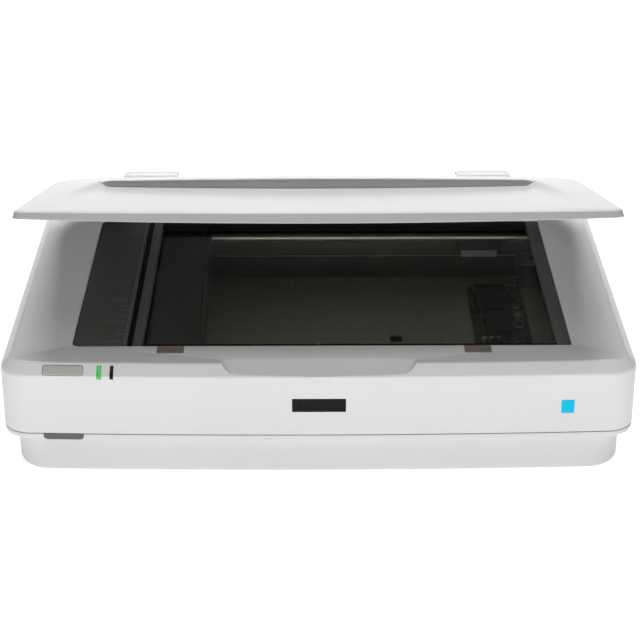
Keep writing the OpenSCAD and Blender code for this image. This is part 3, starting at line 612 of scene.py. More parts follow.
metal("sinter_bronze", (0.58, 0.40, 0.17), rough=0.42, bump=0.2)
metal("motor_can", (0.10, 0.10, 0.11), rough=0.38)
metal("port_shell", (0.62, 0.63, 0.64), rough=0.30, brushed=0.6, axis=1)
sheet_paint()
# painted shade for the inner walls and the seam groove
moulded("inner_shade_paint", (0.11, 0.11, 0.10), rough=0.6, bump=0.1, spec=0.15)
moulded("carriage_black", (0.020, 0.020, 0.018), rough=0.5, bump=0.15, dark=0.6, spec=0.2)
smoky_gloss()
gloss_plate("badge_black", (0.004, 0.0035, 0.0035), rough=0.2, spec=0.15, coat=0.1)
gloss_plate("label_blue", (0.004, 0.62, 0.98), rough=0.4, spec=0.15, coat=0.0)
gloss_plate("lens_dark", (0.006, 0.006, 0.006), rough=0.15, spec=0.2, coat=0.1)
green_lens()
clear_glass()
mirror_glass()
circuit("circuit_green", board=(0.012, 0.085, 0.035), track=(0.03, 0.16, 0.06),
        pad=(0.55, 0.5, 0.3))
circuit("circuit_dark", board=(0.018, 0.040, 0.024), track=(0.035, 0.060, 0.036),
        pad=(0.42, 0.38, 0.25))
circuit("circuit_brown", board=(0.20, 0.12, 0.045), track=(0.30, 0.19, 0.08),
        pad=(0.6, 0.6, 0.6))
moulded("chip_black", (0.014, 0.014, 0.015), rough=0.4, bump=0.2)
metal("cap_can", (0.5, 0.52, 0.55), rough=0.3)
moulded("light_guide", (0.72, 0.72, 0.66), rough=0.25, bump=0.03, coat=0.4)
paper_floor()
# painted shade: darker grey copy of the lid plastic for the rim below the top
moulded("lid_rim_shade_paint", (0.52, 0.52, 0.515), rough=0.36, coat=0.1, bump=0.05)


# ---------------------------------------------------------------- upper housing
def edge_roll(inset, z, radius, start, end, steps):
    """Rounded profile corner as (inset, z), with angles in degrees."""
    angles = [radians(start + (end - start) * k / steps) for k in range(steps + 1)]
    return [(inset - radius * cos(angle), z + radius * sin(angle)) for angle in angles]


def light_strip(light, depth, proud, gap=0.0, steps=1, name="part"):
    """Strip that climbs the front face and bends back up the bevel."""
    x, width = light
    width += 2 * gap
    reach = 8.6 + gap
    # distance out of the face, height above the shoulder
    section = [(proud, -2.6 - gap), (proud, 0.414 * proud),
               (-reach + 0.707 * proud, reach + 0.707 * proud),
               (-reach - 0.707 * depth, reach - 0.707 * depth),
               (-depth, -0.414 * depth), (-depth, -2.6 - gap)]
    rings = [[(-width / 2 + width * k / steps, -out, up) for out, up in section]
             for k in range(steps + 1)]
    return loft(rings, at_face(x, SHOULDER), name)


def finger_recess():
    """Cutter for the shallow scoop in the middle of the front top edge."""
    columns, rows = 64, 14
    verts = []
    for j in range(rows + 1):
        y = FRONT + 25.5 - 28.5 * j / rows
        t = max(0.0, min(1.0, (FRONT + 23.4 - y) / 22.6))
        flare = max(0.0, min(1.0, (FRONT + 11.0 - y) / 11.0))
        half = 108.0 - 13.2 * t
        half += 4.0 * t * t - 6.5 * (1 - sqrt(max(0.0, 1 - flare * flare)))
        for i in range(columns + 1):
            u = -1 + 2 * i / columns
            u = sin(u * pi / 2) * 0.25 + u * 0.75
            x = u * half
            z = TOP - 0.455 * (FRONT + 23.4 - y) + 1.25 * (x / 100) ** 2
            edge = max(0.0, abs(x) - (half - 9.0)) / 9.0
            z += 14 * (1 - sqrt(max(0.0, 1 - edge * edge)))
            verts.append((x, y, z))
    top = len(verts)        # the same grid again, flat above the housing
    verts += [(x, y, TOP + 16) for x, y, z in verts]
    row = columns + 1
    faces = []
    for j in range(rows):
        for i in range(columns):
            a, b, c, d = (j * row + i, j * row + i + 1,
                          (j + 1) * row + i + 1, (j + 1) * row + i)
            faces += [(a, b, c, d), (top + d, top + c, top + b, top + a)]
    for i in range(columns):
        k = rows * row + i
        faces += [(i, top + i, top + i + 1, i + 1), (k, k + 1, top + k + 1, top + k)]
    for j in range(rows):
        a, b = j * row, (j + 1) * row
        faces.append((a, b, top + b, top + a))
        a, b = a + columns, b + columns
        faces.append((a, top + a, top + b, b))
    return clean_object("part", verts, faces)


def recess_backing():
    """Solid wedge behind the finger recess."""
    section = [(FRONT + 2.6, TOP - 20), (FRONT + 2.6, SHOULDER - 0.6),
               (FRONT + 11.5, TOP - 2.2), (FRONT + 30, TOP - 2.2),
               (FRONT + 30, TOP - 10), (FRONT + 8, TOP - 20)]
    faces = [(0, 1, 2, 3, 4, 5), (11, 10, 9, 8, 7, 6)]
    faces += [(k, 6 + k, 6 + (k + 1) % 6, (k + 1) % 6) for k in range(6)]
    return clean_object("part", [(x, y, z) for x in (-114, 114) for y, z in section], faces)


def upper_housing():
    # inset, z
    profile = [(0.6, SEAM), (0.2, SEAM + 0.1), (0, SEAM + 0.45), (0, SEAM + 2),
               (0, SEAM + 8), (0, 88), (0, SHOULDER - 8)]
    profile += edge_roll(6.0, SHOULDER - 6.0 * tan(pi / 8), 6.0, 0, 45, 7)
    profile += edge_roll(BEVEL + 4.5 * tan(pi / 8), TOP - 4.5, 4.5, 45, 90, 7)
    obj = loft([body_ring(inset, z) for inset, z in profile], name="upper_case")
    hollow = [(3, SEAM - 1), (3, SHOULDER - 3.5), (4.2, SHOULDER - 0.2),
              (11.0, PLATE_Z - 0.8), (12.5, PLATE_Z)]
    cut(obj, loft([body_ring(inset, z, front=40, corner=10, side=6) for inset, z in hollow]))
    cut(obj, recess_backing(), "UNION")
    cut(obj, finger_recess())
    # glass opening, scale pocket, hinge post slots
    cut(obj, prism(rounded(OPEN_W, OPEN_D, 2.0, 5, OPEN_CX, OPEN_CY), PLATE_Z - 4, TOP + 5))
    cut(obj, prism(scale_outline(0.2, 8, -199.0), TOP - 1.2, TOP + 5))
    for side in (-1, 1):
        slot = rounded(POST_W + 0.8, 7.8, 0.8, 4, side * HINGE_X, HINGE_Y)
        cut(obj, prism(slot, PLATE_Z - 6, TOP + 5))
    # start key, lights, badge and label
    cut(obj, prism(rounded(START_W + 0.8, START_D + 0.8, 2.4, 6, 0, -1), -8, 3,
                   on_bevel(START_X)))
    cut(obj, light_strip(GREEN_LIGHT, depth=4, proud=2, gap=SLOT_GAP / 2))
    cut(obj, light_strip(DARK_LIGHT, depth=4, proud=2, gap=SLOT_GAP / 2))
    cut(obj, prism(rounded(BADGE_W + SLOT_GAP, BADGE_H + SLOT_GAP, 0.8, 4), -1.2, 3,
                   on_face(0, 88.2)))
    cut(obj, prism(rounded(LABEL_W + SLOT_GAP, LABEL_H + SLOT_GAP, 0.4, 3), -0.25, 3,
                   on_face(255.5, 83.9)))
    bevel(obj, 0.45)
    finish(obj, "base", "case_plastic", "case_white", "upper_housing", smooth=34)
    paint_inner_shade(obj, SEAM + 1, PLATE_Z - 1.2)


upper_housing()


# ---------------------------------------------------------------- lower housing
def lower_housing():
    # inset, depth below the seam: lip, groove and skirt
    lip = [(3.0, 0), (2.6, 0.1), (2.4, 0.5), (2.2, 1.0), (0.9, 1.05), (0.5, 1.15),
           (0.3, 1.5), (0.3, 3), (0.35, 5.4), (0.7, 6.2), (1.5, 6.8), (2.6, 7)]
    rings = [body_ring(inset, SEAM - down) for inset, down in lip]
    # inset, z: tub wall
    wall = [(-1.6, SEAM - 7.05), (-0.6, SEAM - 7.3), (-0.05, SEAM - 8.2), (0, SEAM - 10),
            (0.2, 30), (0.6, TUB_Z + 12)]
    for k in range(1, 11):
        angle = pi / 2 * k / 10
        wall.append((0.6 + 7.5 * (1 - cos(angle)), TUB_Z + 8 - 8 * sin(angle)))
    rings += [tub_ring(inset, z) for inset, z in wall]
    obj = loft(rings, name="lower_case")
    hollow = [(2.6, SEAM + 4), (2.8, 30), (3.6, TUB_Z + 16), (7, TUB_Z + 6), (13, TUB_Z + 2.5)]
    cut(obj, loft([tub_ring(inset, z, front=36, corner=10, side=6) for inset, z in hollow]))
    half = POWER_HALF_W + 0.5
    cut(obj, box(-half, half, -3, 6.2, -7.8, 1, at_face(POWER_X, SEAM)))
    # rear openings: x, z, width, height, corner radius, corner steps
    for x, z, width, height, radius, steps in (
            (-236, 19, 27.6, 20.2, 2, 4), (86, 19.4, 12.6, 11.4, 0.6, 3),
            (150, 19, 38.6, 9.6, 0.8, 3)):
        cut(obj, prism(rounded(width, height, radius, steps), -10, 10,
                       move(x, REAR - 4, z) @ turn(-pi / 2, "X")))
    # transport lock slot and screw recesses
    cut(obj, prism(rounded(24.6, 8.6, 1.5, 4, -120, -120), 0, 12))
    for x, y in HOUSING_SCREWS:
        cut(obj, prism(circle(3.4, 24, x, y), 40, SEAM - 3.5))
    bevel(obj, 0.4)
    finish(obj, "base", "tub_plastic", "tub_white", "lower_housing", smooth=34)
    paint_inner_shade(obj, TUB_Z + 1, SEAM - 1, groove=True)


lower_housing()


# ---------------------------------------------------------------- lid surface
def lid_base(y):
    return RIM_Z + RIM_RISE * (y - LID_Y0) / (LID_Y1 - LID_Y0)


def band_front(x):
    return BAND_Y + BAND_R - sqrt(BAND_R * BAND_R - x * x)


def smoothstep(t):
    t = max(0.0, min(1.0, t))
    return t * t * (3 - 2 * t)


def band_top(x):
    """Height of the crescent band, falling to nothing at its tips."""
    u = min(1.0, abs(x) / BAND_HALF_W)
    tip = max(0.0, 1 - ((u - 0.925) / 0.075) ** 2) ** 0.5 if u > 0.925 else 1.0
    return BAND_H * (1 - 0.42 * u * u) * tip


def wing(x, y, band_y, full):
    """Side wings beside the low front panel: they meet the band tips and fade forwards."""
    ahead = max(0.0, band_y - y)
    fade = 1 - smoothstep(ahead / 215.0)
    return full * fade * smoothstep((abs(x) - 239 - 0.10 * ahead) / (12.0 + 0.16 * ahead))


def dome(x, y):
    """Height of the lid top over its base plane."""
    across = abs(x)
    band_y = band_front(min(across, 305.0))
    t = max(0.0, min(1.0, (y - band_y) / (LID_Y1 - 4 - band_y)))
    peak = BAND_H * (1 - 0.42 * min(1.0, across / BAND_HALF_W) ** 2)
    side = 1 - smoothstep((across - 228) / (LID_W / 2 - 232))
    if y < band_y:
        return wing(x, y, band_y, peak * side)
    full = peak * (1 - t ** 1.7) * side
    low = min(full, max(band_top(x), wing(x, band_y, band_y, peak * side)))
    return low + (full - low) * smoothstep((y - band_y - 1.0) / (2.6 * (peak * side - low) + 1.0))


def lid_edges(inset):
    """Front and rear edges of the lid, each from left to right."""
    left, front, right, _ = bowed_front(LID_W, LID_Y0, LID_BOW, LID_FRONT_R, inset, 120, 14)
    cx, cy = LID_W / 2 - LID_REAR_R, LID_Y1 - LID_REAR_R
    rear = arc(-cx, cy, LID_REAR_R - inset, pi, -pi / 2, 14, drop=1)
    rear += [(-cx + 2 * cx * k / 120, LID_Y1 - inset) for k in range(121)]
    rear += arc(cx, cy, LID_REAR_R - inset, pi / 2, -pi / 2, 14, skip=1)
    return left + front + right, rear


def lid_column(start, end):
    """Points over the lid top from a front edge point to a rear one."""
    (x0, y0), (x1, y1) = start, end

    def x_at(y):
        return x0 + (x1 - x0) * ((y - y0) / (y1 - y0))

    band_y = band_front(x0)
    for _ in range(8):      # settles on where the column meets the band
        band_y = band_front(max(-305, min(305, x_at(band_y))))
    band_y = min(max(band_y, y0 + 5), y1 - 5)
    column = []
    for k in range(35):
        t = k / 34
        y = y0 + (band_y - y0) * (t * (2 - t) * 0.35 + t * 0.65)
        x = x_at(y)
        column.append((x, y, lid_base(y) + dome(x, y - 1e-3)))
    x = column[-1][0]
    step = max(band_top(x) - 0.5, dome(x, band_y - 1e-3))
    column.append((x, band_y + 0.25, lid_base(band_y) + step))
    for k in range(31):
        t = k / 30
        y = band_y + 0.9 + (y1 - band_y - 0.9) * (t * t * 0.5 + t * 0.5)
        x = x_at(y)
        column.append((x, y, lid_base(y) + dome(x, y)))
    return column


# Lid rim, from the top round to the underside: inset, height.
# Top heights are from the base plane, bottom ones from the dished underside.
RIM_TOP = ((2.75, -0.10), (2.3, -0.38), (2.0, -0.85), (1.7, -1.6))
RIM_BOTTOM = ((0.9, 3.2), (0.1, 1.5), (0.0, 1.0), (0.15, 0.5), (0.6, 0.12), (1.3, 0.0),
              (5.2, 0.0), (5.4, 0.3), (5.5, 5.2))


def lid_shell():
    columns = [lid_column(*ends) for ends in zip(*lid_edges(3.2))]
    across, along = len(columns), len(columns[0])
    verts = [point for column in columns for point in column]
    faces = []
    for j in range(across - 1):
        for k in range(along - 1):
            a = j * along + k
            faces.append((a, a + along, a + along + 1, a + 1))
    # boundary, counter-clockwise: front, right side, rear, left side
    border = [(j, 0) for j in range(across)]
    border += [(across - 1, k) for k in range(1, along)]
    border += [(j, along - 1) for j in range(across - 2, -1, -1)]
    border += [(0, k) for k in range(along - 2, 0, -1)]
    previous = [j * along + k for j, k in border]
    for inset, height in RIM_TOP + RIM_BOTTOM:
        front, rear = lid_edges(inset)
        current = list(range(len(verts), len(verts) + len(border)))
        for j, k in border:
            if k == 0:
                x, y = front[j]
            elif k == along - 1:
                x, y = rear[j]
            else:
                x = -(LID_W / 2 - inset) if j == 0 else LID_W / 2 - inset
                y = columns[j][k][1]
            if (inset, height) in RIM_TOP:
                z = lid_base(y) + height
            else:
                z = LID_Z + 3.2 * (x / (LID_W / 2)) ** 2 + height
            verts.append((x, y, z))
        for i in range(len(border)):
            k = (i + 1) % len(border)
            faces.append((previous[i], current[i], current[k], previous[k]))
        previous = current
    faces.append(tuple(previous[::-1]))
    obj = clean_object("lid_shell_skin", verts, faces, LID_POSE)
    obj.data.materials.append(MATERIALS["lid_white"])
    obj.data.materials.append(MATERIALS["lid_rim_shade_paint"])
    shut = LID_POSE.inverted()
    # painted shade: faces below the lid top take the darker grey rim material
    for face in obj.data.polygons:
        at = shut @ (face.center * 1000)
        if at.z < lid_base(at.y) - 1.3:
            face.material_index = 1
    finish(obj, "lid", "lid_plastic", None, "lid_shell", smooth=38)


def crescent_band():
    """Band along the bowed front of the raised part, with rolled edges."""
    steps, proud = 160, 0.9
    rings = []
    for i in range(steps + 1):
        u = -1 + 2 * i / steps
        u = sin(u * pi / 2) * 0.35 + u * 0.65
        x = u * BAND_HALF_W * 0.995
        y = band_front(x)
        behind = dome(x, y - 1e-3)
        high = max(0.3, band_top(x) - behind)
        z0 = lid_base(y) + behind - 0.3
        outward = Vector((x / BAND_R, -sqrt(1 - (x / BAND_R) ** 2), 0))
        # distance behind the band line, height
        section = [(0.9, 0.0), (-proud + 0.25, 0.0), (-proud, 0.5),
                   (-proud, 0.35 * high + 0.2), (-proud + 0.03, 0.7 * high),
                   (-proud + 0.18, high - 0.7), (-proud + 0.55, high - 0.22),
                   (-proud + 1.1, high + 0.05), (0.9, high + 0.12)]
        ring = []
        for back, up in section:
            point = Vector((x, y, z0)) - outward * back
            ring.append((point.x, point.y, z0 + min(up, high + 0.12)))
        rings.append(ring)
    obj = loft(rings, LID_POSE, "crescent_trim", flip=True)
    finish(obj, "lid", "smoky_gloss", "smoky_gloss", "crescent_band", smooth=40)


lid_shell()
crescent_band()


# ---------------------------------------------------------------- lid underside
def lid_tray():
    # inset, height over the lid's lower plane
    profile = [(6.2, 6.8), (6.2, 3.0), (6.6, 2.6), (16, 2.5), (17, 2.2), (18, 0.9), (19, 0.7)]
    obj = loft([lid_ring(inset, LID_Z + up) for inset, up in profile], LID_POSE,
               "lid_underside")
    cut(obj, prism(rounded(MAT_W + 1, MAT_D + 1, 6.5, 8, OPEN_CX, OPEN_CY),
                   LID_Z - 3, LID_Z + 2.2, LID_POSE))
    for x, y in LID_SCREWS:
        cut(obj, prism(circle(3.2, 24, x, y), LID_Z - 2, LID_Z + 1.4, LID_POSE))
    bevel(obj, 0.5, angle=30)
    finish(obj, "lid", "tray_plastic", "tray_grey", "lid_tray", smooth=32)


def document_mat():
    """Soft foam sheet with a thin sealed rim."""
    # inset, height over the lid's lower plane
    profile = [(0.1, 2.05), (0, 1.6), (0.2, 0.9), (1.0, 0.62), (4.5, 0.6), (5.2, 0.45),
               (6.4, 0.05), (8.5, -0.2), (14, -0.28), (60, -0.3)]
    rings = [level(rounded(MAT_W - 2 * inset, MAT_D - 2 * inset, max(6 - inset, 0.5), 10,
                           OPEN_CX, OPEN_CY), LID_Z + up) for inset, up in profile]
    obj = loft(rings, LID_POSE, "document_mat_pad")
    finish(obj, "lid", "mat_foam", "mat_foam", "document_mat", smooth=60)


lid_tray()
document_mat()


# ---------------------------------------------------------------- hinges
BARREL_R, BORE_R = 6.5, 2.6


def hinge_covers():
    base = lid_base(LID_Y1) - SHUT_Z + 0.3
    # y, z from the hinge axis
    outer = [(-25.5, base), (-24.3, 5.8), (-21.5, 8.2), (-17.0, 9.3), (-10, 9.6), (-4.5, 9.55)]
    for k in range(9):
        angle = radians(100 - 70 * k / 8)
        outer.append((9.3 * cos(angle), 9.3 * sin(angle) + 0.15 * (1 - k / 8)))
    inner = arc(0, 0, 7.4, radians(30), radians(100), 10) + [(-7.2, 5.7), (-8.7, base)]
    steps, half = 14, 32.3
    parts = []
    for side in (-1, 1):
        rings = []
        for k in range(steps + 1):
            x = -half + 2 * half * k / steps
            squeeze = 1 - 0.10 * max(0, (abs(x) / half - 0.86) / 0.14) ** 2
            ring = [(side * HINGE_X + x * (1 - 0.075 * max(0, up - 6) / 6), HINGE_Y + back,
                     SHUT_Z + (base + (up - base) * squeeze if up > base else up))
                    for back, up in outer]
            ring += [(side * HINGE_X + x, HINGE_Y + back, SHUT_Z + up) for back, up in inner]
            rings.append(ring)
        parts.append(loft(rings, LID_POSE))
    obj = join("hinge_cover_caps", parts)
    bevel(obj, 0.7, segments=3, angle=30)
    finish(obj, "lid", "hinge_cover_grey", "cover_grey", "hinge_covers", smooth=34)


def lid_knuckles():
    profile = [(2.56, 0), (2.56, 6.8), (5.9, 6.8), (BARREL_R, 6.2), (BARREL_R, 0.6), (5.9, 0)]
    # y, z from the hinge axis: arm from the knuckle to the lid
    arm = [(LID_Y1 - 3, -5.8), (HINGE_Y - 3.2, -6.2), (HINGE_Y - 5.2, 0),
           (HINGE_Y - 3.2, 6.2), (LID_Y1 - 3, 4.6)]
    parts = []
    for side in (-1, 1):
        for end in (-1, 1):
            x0 = side * HINGE_X + end * 26 - 3.4
            parts.append(revolve(profile, 40, LID_POSE @ axis_x(x0, HINGE_Y, SHUT_Z)))
            parts.append(loft([[(x, y, z + SHUT_Z) for y, z in arm]
                               for x in (x0 + 0.3, x0 + 6.5)], LID_POSE))
    finish(join("lid_knuckles", parts), "lid", "lid_plastic", "cover_grey", smooth=40)


def hinge_posts():
    z0 = node_box("hinge_posts")[0][2]
    parts = []
    for side in (-1, 1):
        x = side * HINGE_X
        pose = axis_x(x - POST_W / 2, HINGE_Y, HINGE_Z)
        # depth, z
        post = loft([level(rounded(POST_W, depth, 1.2, 5, x, HINGE_Y), z)
                     for depth, z in ((7, z0), (7, z0 + 1), (7, HINGE_Z - 9),
                                      (9.5, HINGE_Z - 3))])
        barrel = revolve([(BORE_R, 0), (BORE_R, POST_W), (5.9, POST_W), (BARREL_R, 43.4),
                          (BARREL_R, 0.6), (5.9, 0)], 48, pose)
        cut(post, prism(circle(BORE_R, 32), -1, 46, pose))
        cut(post, barrel, "UNION")
        cut(post, box(x - 7, x + 7, HINGE_Y - 8, HINGE_Y + 8, HINGE_Z - 8, HINGE_Z + 8))
        # grooves and notches on the rear face
        for offset in (-14, 14):
            cut(post, prism(rounded(5, 60, 2.4, 5), -1, 1.0,
                            move(x + offset, HINGE_Y + 3.5, HINGE_Z - 48)
                            @ turn(-pi / 2, "X")))
        for k in range(5):
            cut(post, box(x - 3.5, x + 3.5, HINGE_Y + 2.6, HINGE_Y + 5,
                          HINGE_Z - 30 - k * 7, HINGE_Z - 27.5 - k * 7))
        parts.append(post)
    obj = join("hinge_post_pair", parts)
    bevel(obj, 0.35)
    finish(obj, "hinge_posts", "hinge_grey", "hinge_grey", "hinge_posts", smooth=34)


def hinge_springs():
    parts = [wire(helix(4.1, 0.9, 10.2, 140, 22), 0.75,
                  axis_x(side * HINGE_X - 6, HINGE_Y, HINGE_Z)) for side in (-1, 1)]
    finish(join("hinge_spring_coils", parts), "hinge_posts", "spring_steel", "spring_wire",
           "hinge_springs", smooth=60)


def hinge_pins():
    profile = [(0.01, 0), (2.0, 0), (2.5, 0.5), (2.5, 58.3), (2.0, 58.8), (0.01, 58.8)]
    parts = [revolve(profile, 32, axis_x(side * HINGE_X - 29.4, HINGE_Y, HINGE_Z))
             for side in (-1, 1)]
    finish(join("hinge_pin_pair", parts), "hinge_posts", "rod_steel", "rod_steel",
           "hinge_pins", smooth=40)


hinge_covers()
lid_knuckles()
hinge_posts()
hinge_springs()
hinge_pins()


# ---------------------------------------------------------------- front controls
def power_key():
    """Key under the seam, square above and rounded at its lower corners."""
    half = POWER_HALF_W
    section = [(-half, -0.3), (-half, -4.0)]
    for k in range(1, 7):
        angle = pi / 2 * k / 6
        section.append((-half + 3.4 * (1 - cos(angle)), -4.0 - 3.4 * sin(angle)))
    section += [(-x, z) for x, z in reversed(section)]

    def ring(inset, y):
        return [(x * (half - inset) / half, y,
                 z + (inset if z < -3.4 else (-inset if z > -1 else 0))) for x, z in section]

    rings = [ring(inset, y) for inset, y in
             ((0.9, -0.1), (0.35, 0.02), (0.08, 0.3), (0, 0.75), (0, 4.4))]
    finish(loft(rings, at_face(POWER_X, SEAM), "power_key"), "power_button", "power_grey",
           "power_grey", "power_button", smooth=40)


def status_light(name, light, slot, material, replaced):
    obj = light_strip(light, depth=3, proud=0.12, steps=3, name=name)
    bevel(obj, 0.5, segments=3, angle=30)
    finish(obj, "base", slot, material, replaced, smooth=40)


finish(pillow(START_W, START_D, 2.2, -4, 0.8, edge=0.8, crown=0.2,
              pose=on_bevel(START_X) @ move(0, -1), name="start_key"),
       "start_button", "start_grey", "start_grey", "start_button", smooth=40)
power_key()
status_light("status_light_green", GREEN_LIGHT, "green_lens", "lens_green", "green_light")
status_light("status_light_dark", DARK_LIGHT, "dark_lens", "lens_dark", "dark_light")
finish(pillow(BADGE_W, BADGE_H, 0.9, -1.15, -0.05, edge=0.35, pose=on_face(0, 88.2),
              name="blank_badge"),
       "base", "badge_gloss", "badge_black", "badge_plate", smooth=40)
finish(pillow(LABEL_W, LABEL_H, 0.5, -0.2, 0.1, edge=0.1, pose=on_face(255.5, 83.9),
              name="plain_label"),
       "base", "blue_print", "label_blue", "blue_label", smooth=40)


# ---------------------------------------------------------------- glass surround
def size_scale():
    obj = prism(scale_outline(0, 10, -200.1), TOP - 1.15, TOP - 0.1, name="size_scale")
    bevel(obj, 0.3)
    finish(obj, "base", "scale_plastic", "scale_grey", "scale_plate", smooth=34)


def size_marks():
    """Raised ribs of the scale, and the line along its right edge."""
    # y, length
    ribs = ((-166, 22), (-150, 9), (-141, 9), (-118, 24), (-104, 9), (-92, 14), (-80, 9),
            (-66, 24), (-52, 9), (-38, 14), (-22, 24), (-10, 9), (4, 9), (18, 18), (32, 9),
            (44, 24), (60, 9), (74, 14), (90, 24), (104, 9), (120, 18), (134, 9))
    right, half = -203.5, 0.55 / 2
    marks = [(right - length, right, y - half, y + half) for y, length in ribs]
    marks.append((-202.6, -201.9, OPEN_Y0 + 4, OPEN_Y1 - 4))
    parts = []
    for x0, x1, y0, y1 in marks:
        parts.append(loft([
            [(x0 + inset, y0 + inset, z), (x1 - inset, y0 + inset, z),
             (x1 - inset, y1 - inset, z), (x0 + inset, y1 - inset, z)]
            for inset, z in ((0, TOP - 0.11), (0.1, TOP - 0.02))]))
    finish(join("size_marks", parts), "base", "scale_plastic", "scale_mark")


def glass_frame():
    """Border round the glass: black, with its left and right ledges in dark grey, painted shade
    on the light ledges.
    """
    obj = prism(rounded(OPEN_W - 0.4, OPEN_D - 0.4, 1.6, 5, OPEN_CX, OPEN_CY),
                PLATE_Z, PLATE_Z + 1.8, name="glass_border")
    x0, x1, y0, y1 = OPEN_X0 + 18, OPEN_X1 - 16.5, OPEN_Y0 + 8, OPEN_Y1 - 24
    cut(obj, loft([level(rounded(x1 - x0 + grow, y1 - y0 + grow, radius, 8,
                                 (x1 + x0) / 2, (y1 + y0) / 2), z)
                   for grow, radius, z in ((0, 3, PLATE_Z - 1), (3.0, 4, PLATE_Z + 3))]))
    bevel(obj, 0.3)
    # split the faces where the colour changes
    outer_x = OPEN_X0 + 6.5
    bm = bmesh.new()
    bm.from_mesh(obj.data)
    for x in (x1 + 1.6, outer_x, x0 - 1.6):
        bmesh.ops.bisect_plane(bm, geom=bm.verts[:] + bm.edges[:] + bm.faces[:],
                               plane_co=(x * MM, 0, 0), plane_no=(1, 0, 0))
    bm.to_mesh(obj.data)
    bm.free()
    obj.data.update()
    obj.data.materials.append(MATERIALS["frame_black"])
    obj.data.materials.append(MATERIALS["ledge_shade_paint"])
    for face in obj.data.polygons:
        x = face.center.x * 1000
        # painted shade on the left and right ledges
        if x > x1 - 0.2 or outer_x < x < x0 + 0.2:
            face.material_index = 1
    finish(obj, "base", "black_plastic", None, "glass_frame", smooth=34)


size_scale()
size_marks()
glass_frame()
PADS = [pillow(27.9, 16, 1.6, TOP, TOP + 0.7, edge=0.35, crown=0.1,
               pose=move(x, OPEN_Y0 - 8.6)) for x in (-153.2, 164.5)]
finish(join("rest_pad_pair", PADS), "base", "pad_rubber", "pad_rubber", "lid_rest_pads",
       smooth=45)


# ---------------------------------------------------------------- feet and screws
def feet():
    # radius, z
    profile = [(0.01, 0.9), (5.5, 0.9), (6.2, 0.2), (10.2, 0.0), (11.2, 0.5), (12, 2.2),
               (12, TUB_Z), (3.05, TUB_Z), (3.05, TUB_Z + 2.2), (2.6, TUB_Z + 2.4),
               (0.01, TUB_Z + 2.4)]
    parts = [revolve(profile, 40, move(x, y)) for x in (-255, 255) for y in (-160, 165)]
    finish(join("foot_set", parts), "base", "rubber", "rubber_black", "rubber_feet", smooth=40)


def screws(name, body, replaced, poses, radius, length, head_h):
    """Cross-head screws along -Z, with the head standing on z = 0."""
    head_r = 3
    profile = [(0.01, -length), (radius * 0.6, -length), (radius, -length + 0.8), (radius, 0),
               (head_r, 0), (head_r, head_h * 0.55), (head_r * 0.82, head_h * 0.9),
               (head_r * 0.5, head_h), (0.01, head_h)]
    parts = []
    for pose in poses:
        screw = revolve(profile, 24, pose)
        for angle in (0, pi / 2):
            cut(screw, box(-head_r * 0.55, head_r * 0.55, -0.35, 0.35, head_h - 0.8,
                           head_h + 1, pose @ turn(angle, "Z")))
        parts.append(screw)
    finish(join(name, parts), body, "screw_steel", "screw_zinc", replaced, smooth=35)


feet()
UPSIDE_DOWN = turn(pi, "X")
screws("case_screws", "base", "housing_screws",
       [move(x, y, SEAM - 3.6) @ UPSIDE_DOWN for x, y in HOUSING_SCREWS],
       radius=1.45, length=16, head_h=2)
screws("frame_screws", "base", "chassis_screws",
       [move(x, y, 31.5) for x, y in ((-265, -150), (265, -150), (0, -188), (0, 25),
                                      (-296, 30), (296, 30), (-30, 195))],
       radius=1.5, length=14, head_h=2)
screws("tray_screws", "lid", "lid_screws",
       [LID_POSE @ move(x, y, LID_Z + 1.4) @ UPSIDE_DOWN for x, y in LID_SCREWS],
       radius=1.55, length=5, head_h=1.2)

# ---------------------------------------------------------------- drive parts
PULLEY_X, BELT_Y, PULLEY_R = 286.0, 190.0, 8.0      # pulleys at +X and -X
MOTOR_X = PULLEY_X - 20
SHAFT_BORE = 2.56


def drive_belt():
    """Toothed belt: closed band with trapezoid teeth on its inner side."""
    # share of the tooth pitch, height of the inner face over the tooth tips
    tooth = ((0.0, 0.1), (0.3, 0.1), (0.4, 0.55), (0.75, 0.55), (0.85, 0.1))
    pitch, arc_teeth = 2.0, 13
    outer = PULLEY_R + 1.6
    rings = []

    def add(inner_x, inner_y, outer_x, outer_y):
        rings.append([(inner_x, inner_y, 92.05), (outer_x, outer_y, 92.05),
                      (outer_x, outer_y, 97.95), (inner_x, inner_y, 97.95)])

    def straight(x0, x1, side):
        teeth = int(2 * PULLEY_X / pitch)
        for k in range(teeth):
            for share, height in tooth:
                x = x0 + (x1 - x0) * k / teeth + (x1 - x0) / teeth * share
                add(x, BELT_Y + side * (PULLEY_R + height + 0.02), x, BELT_Y + side * outer)

    def bend(cx, start, end):
        for k in range(arc_teeth):
            for share, height in tooth:
                angle = start + (end - start) * (k + share) / arc_teeth
                inner = PULLEY_R + height + 0.02
                add(cx + inner * cos(angle), BELT_Y + inner * sin(angle),
                    cx + outer * cos(angle), BELT_Y + outer * sin(angle))

    straight(-PULLEY_X, PULLEY_X, -1)
    bend(PULLEY_X, -pi / 2, pi / 2)
    straight(PULLEY_X, -PULLEY_X, 1)
    bend(-PULLEY_X, pi / 2, 3 * pi / 2)
    finish(loft(rings, name="timing_belt", closed=True, flip=True),
           "base", "rubber", "rubber_black", "drive_belt", smooth=30)


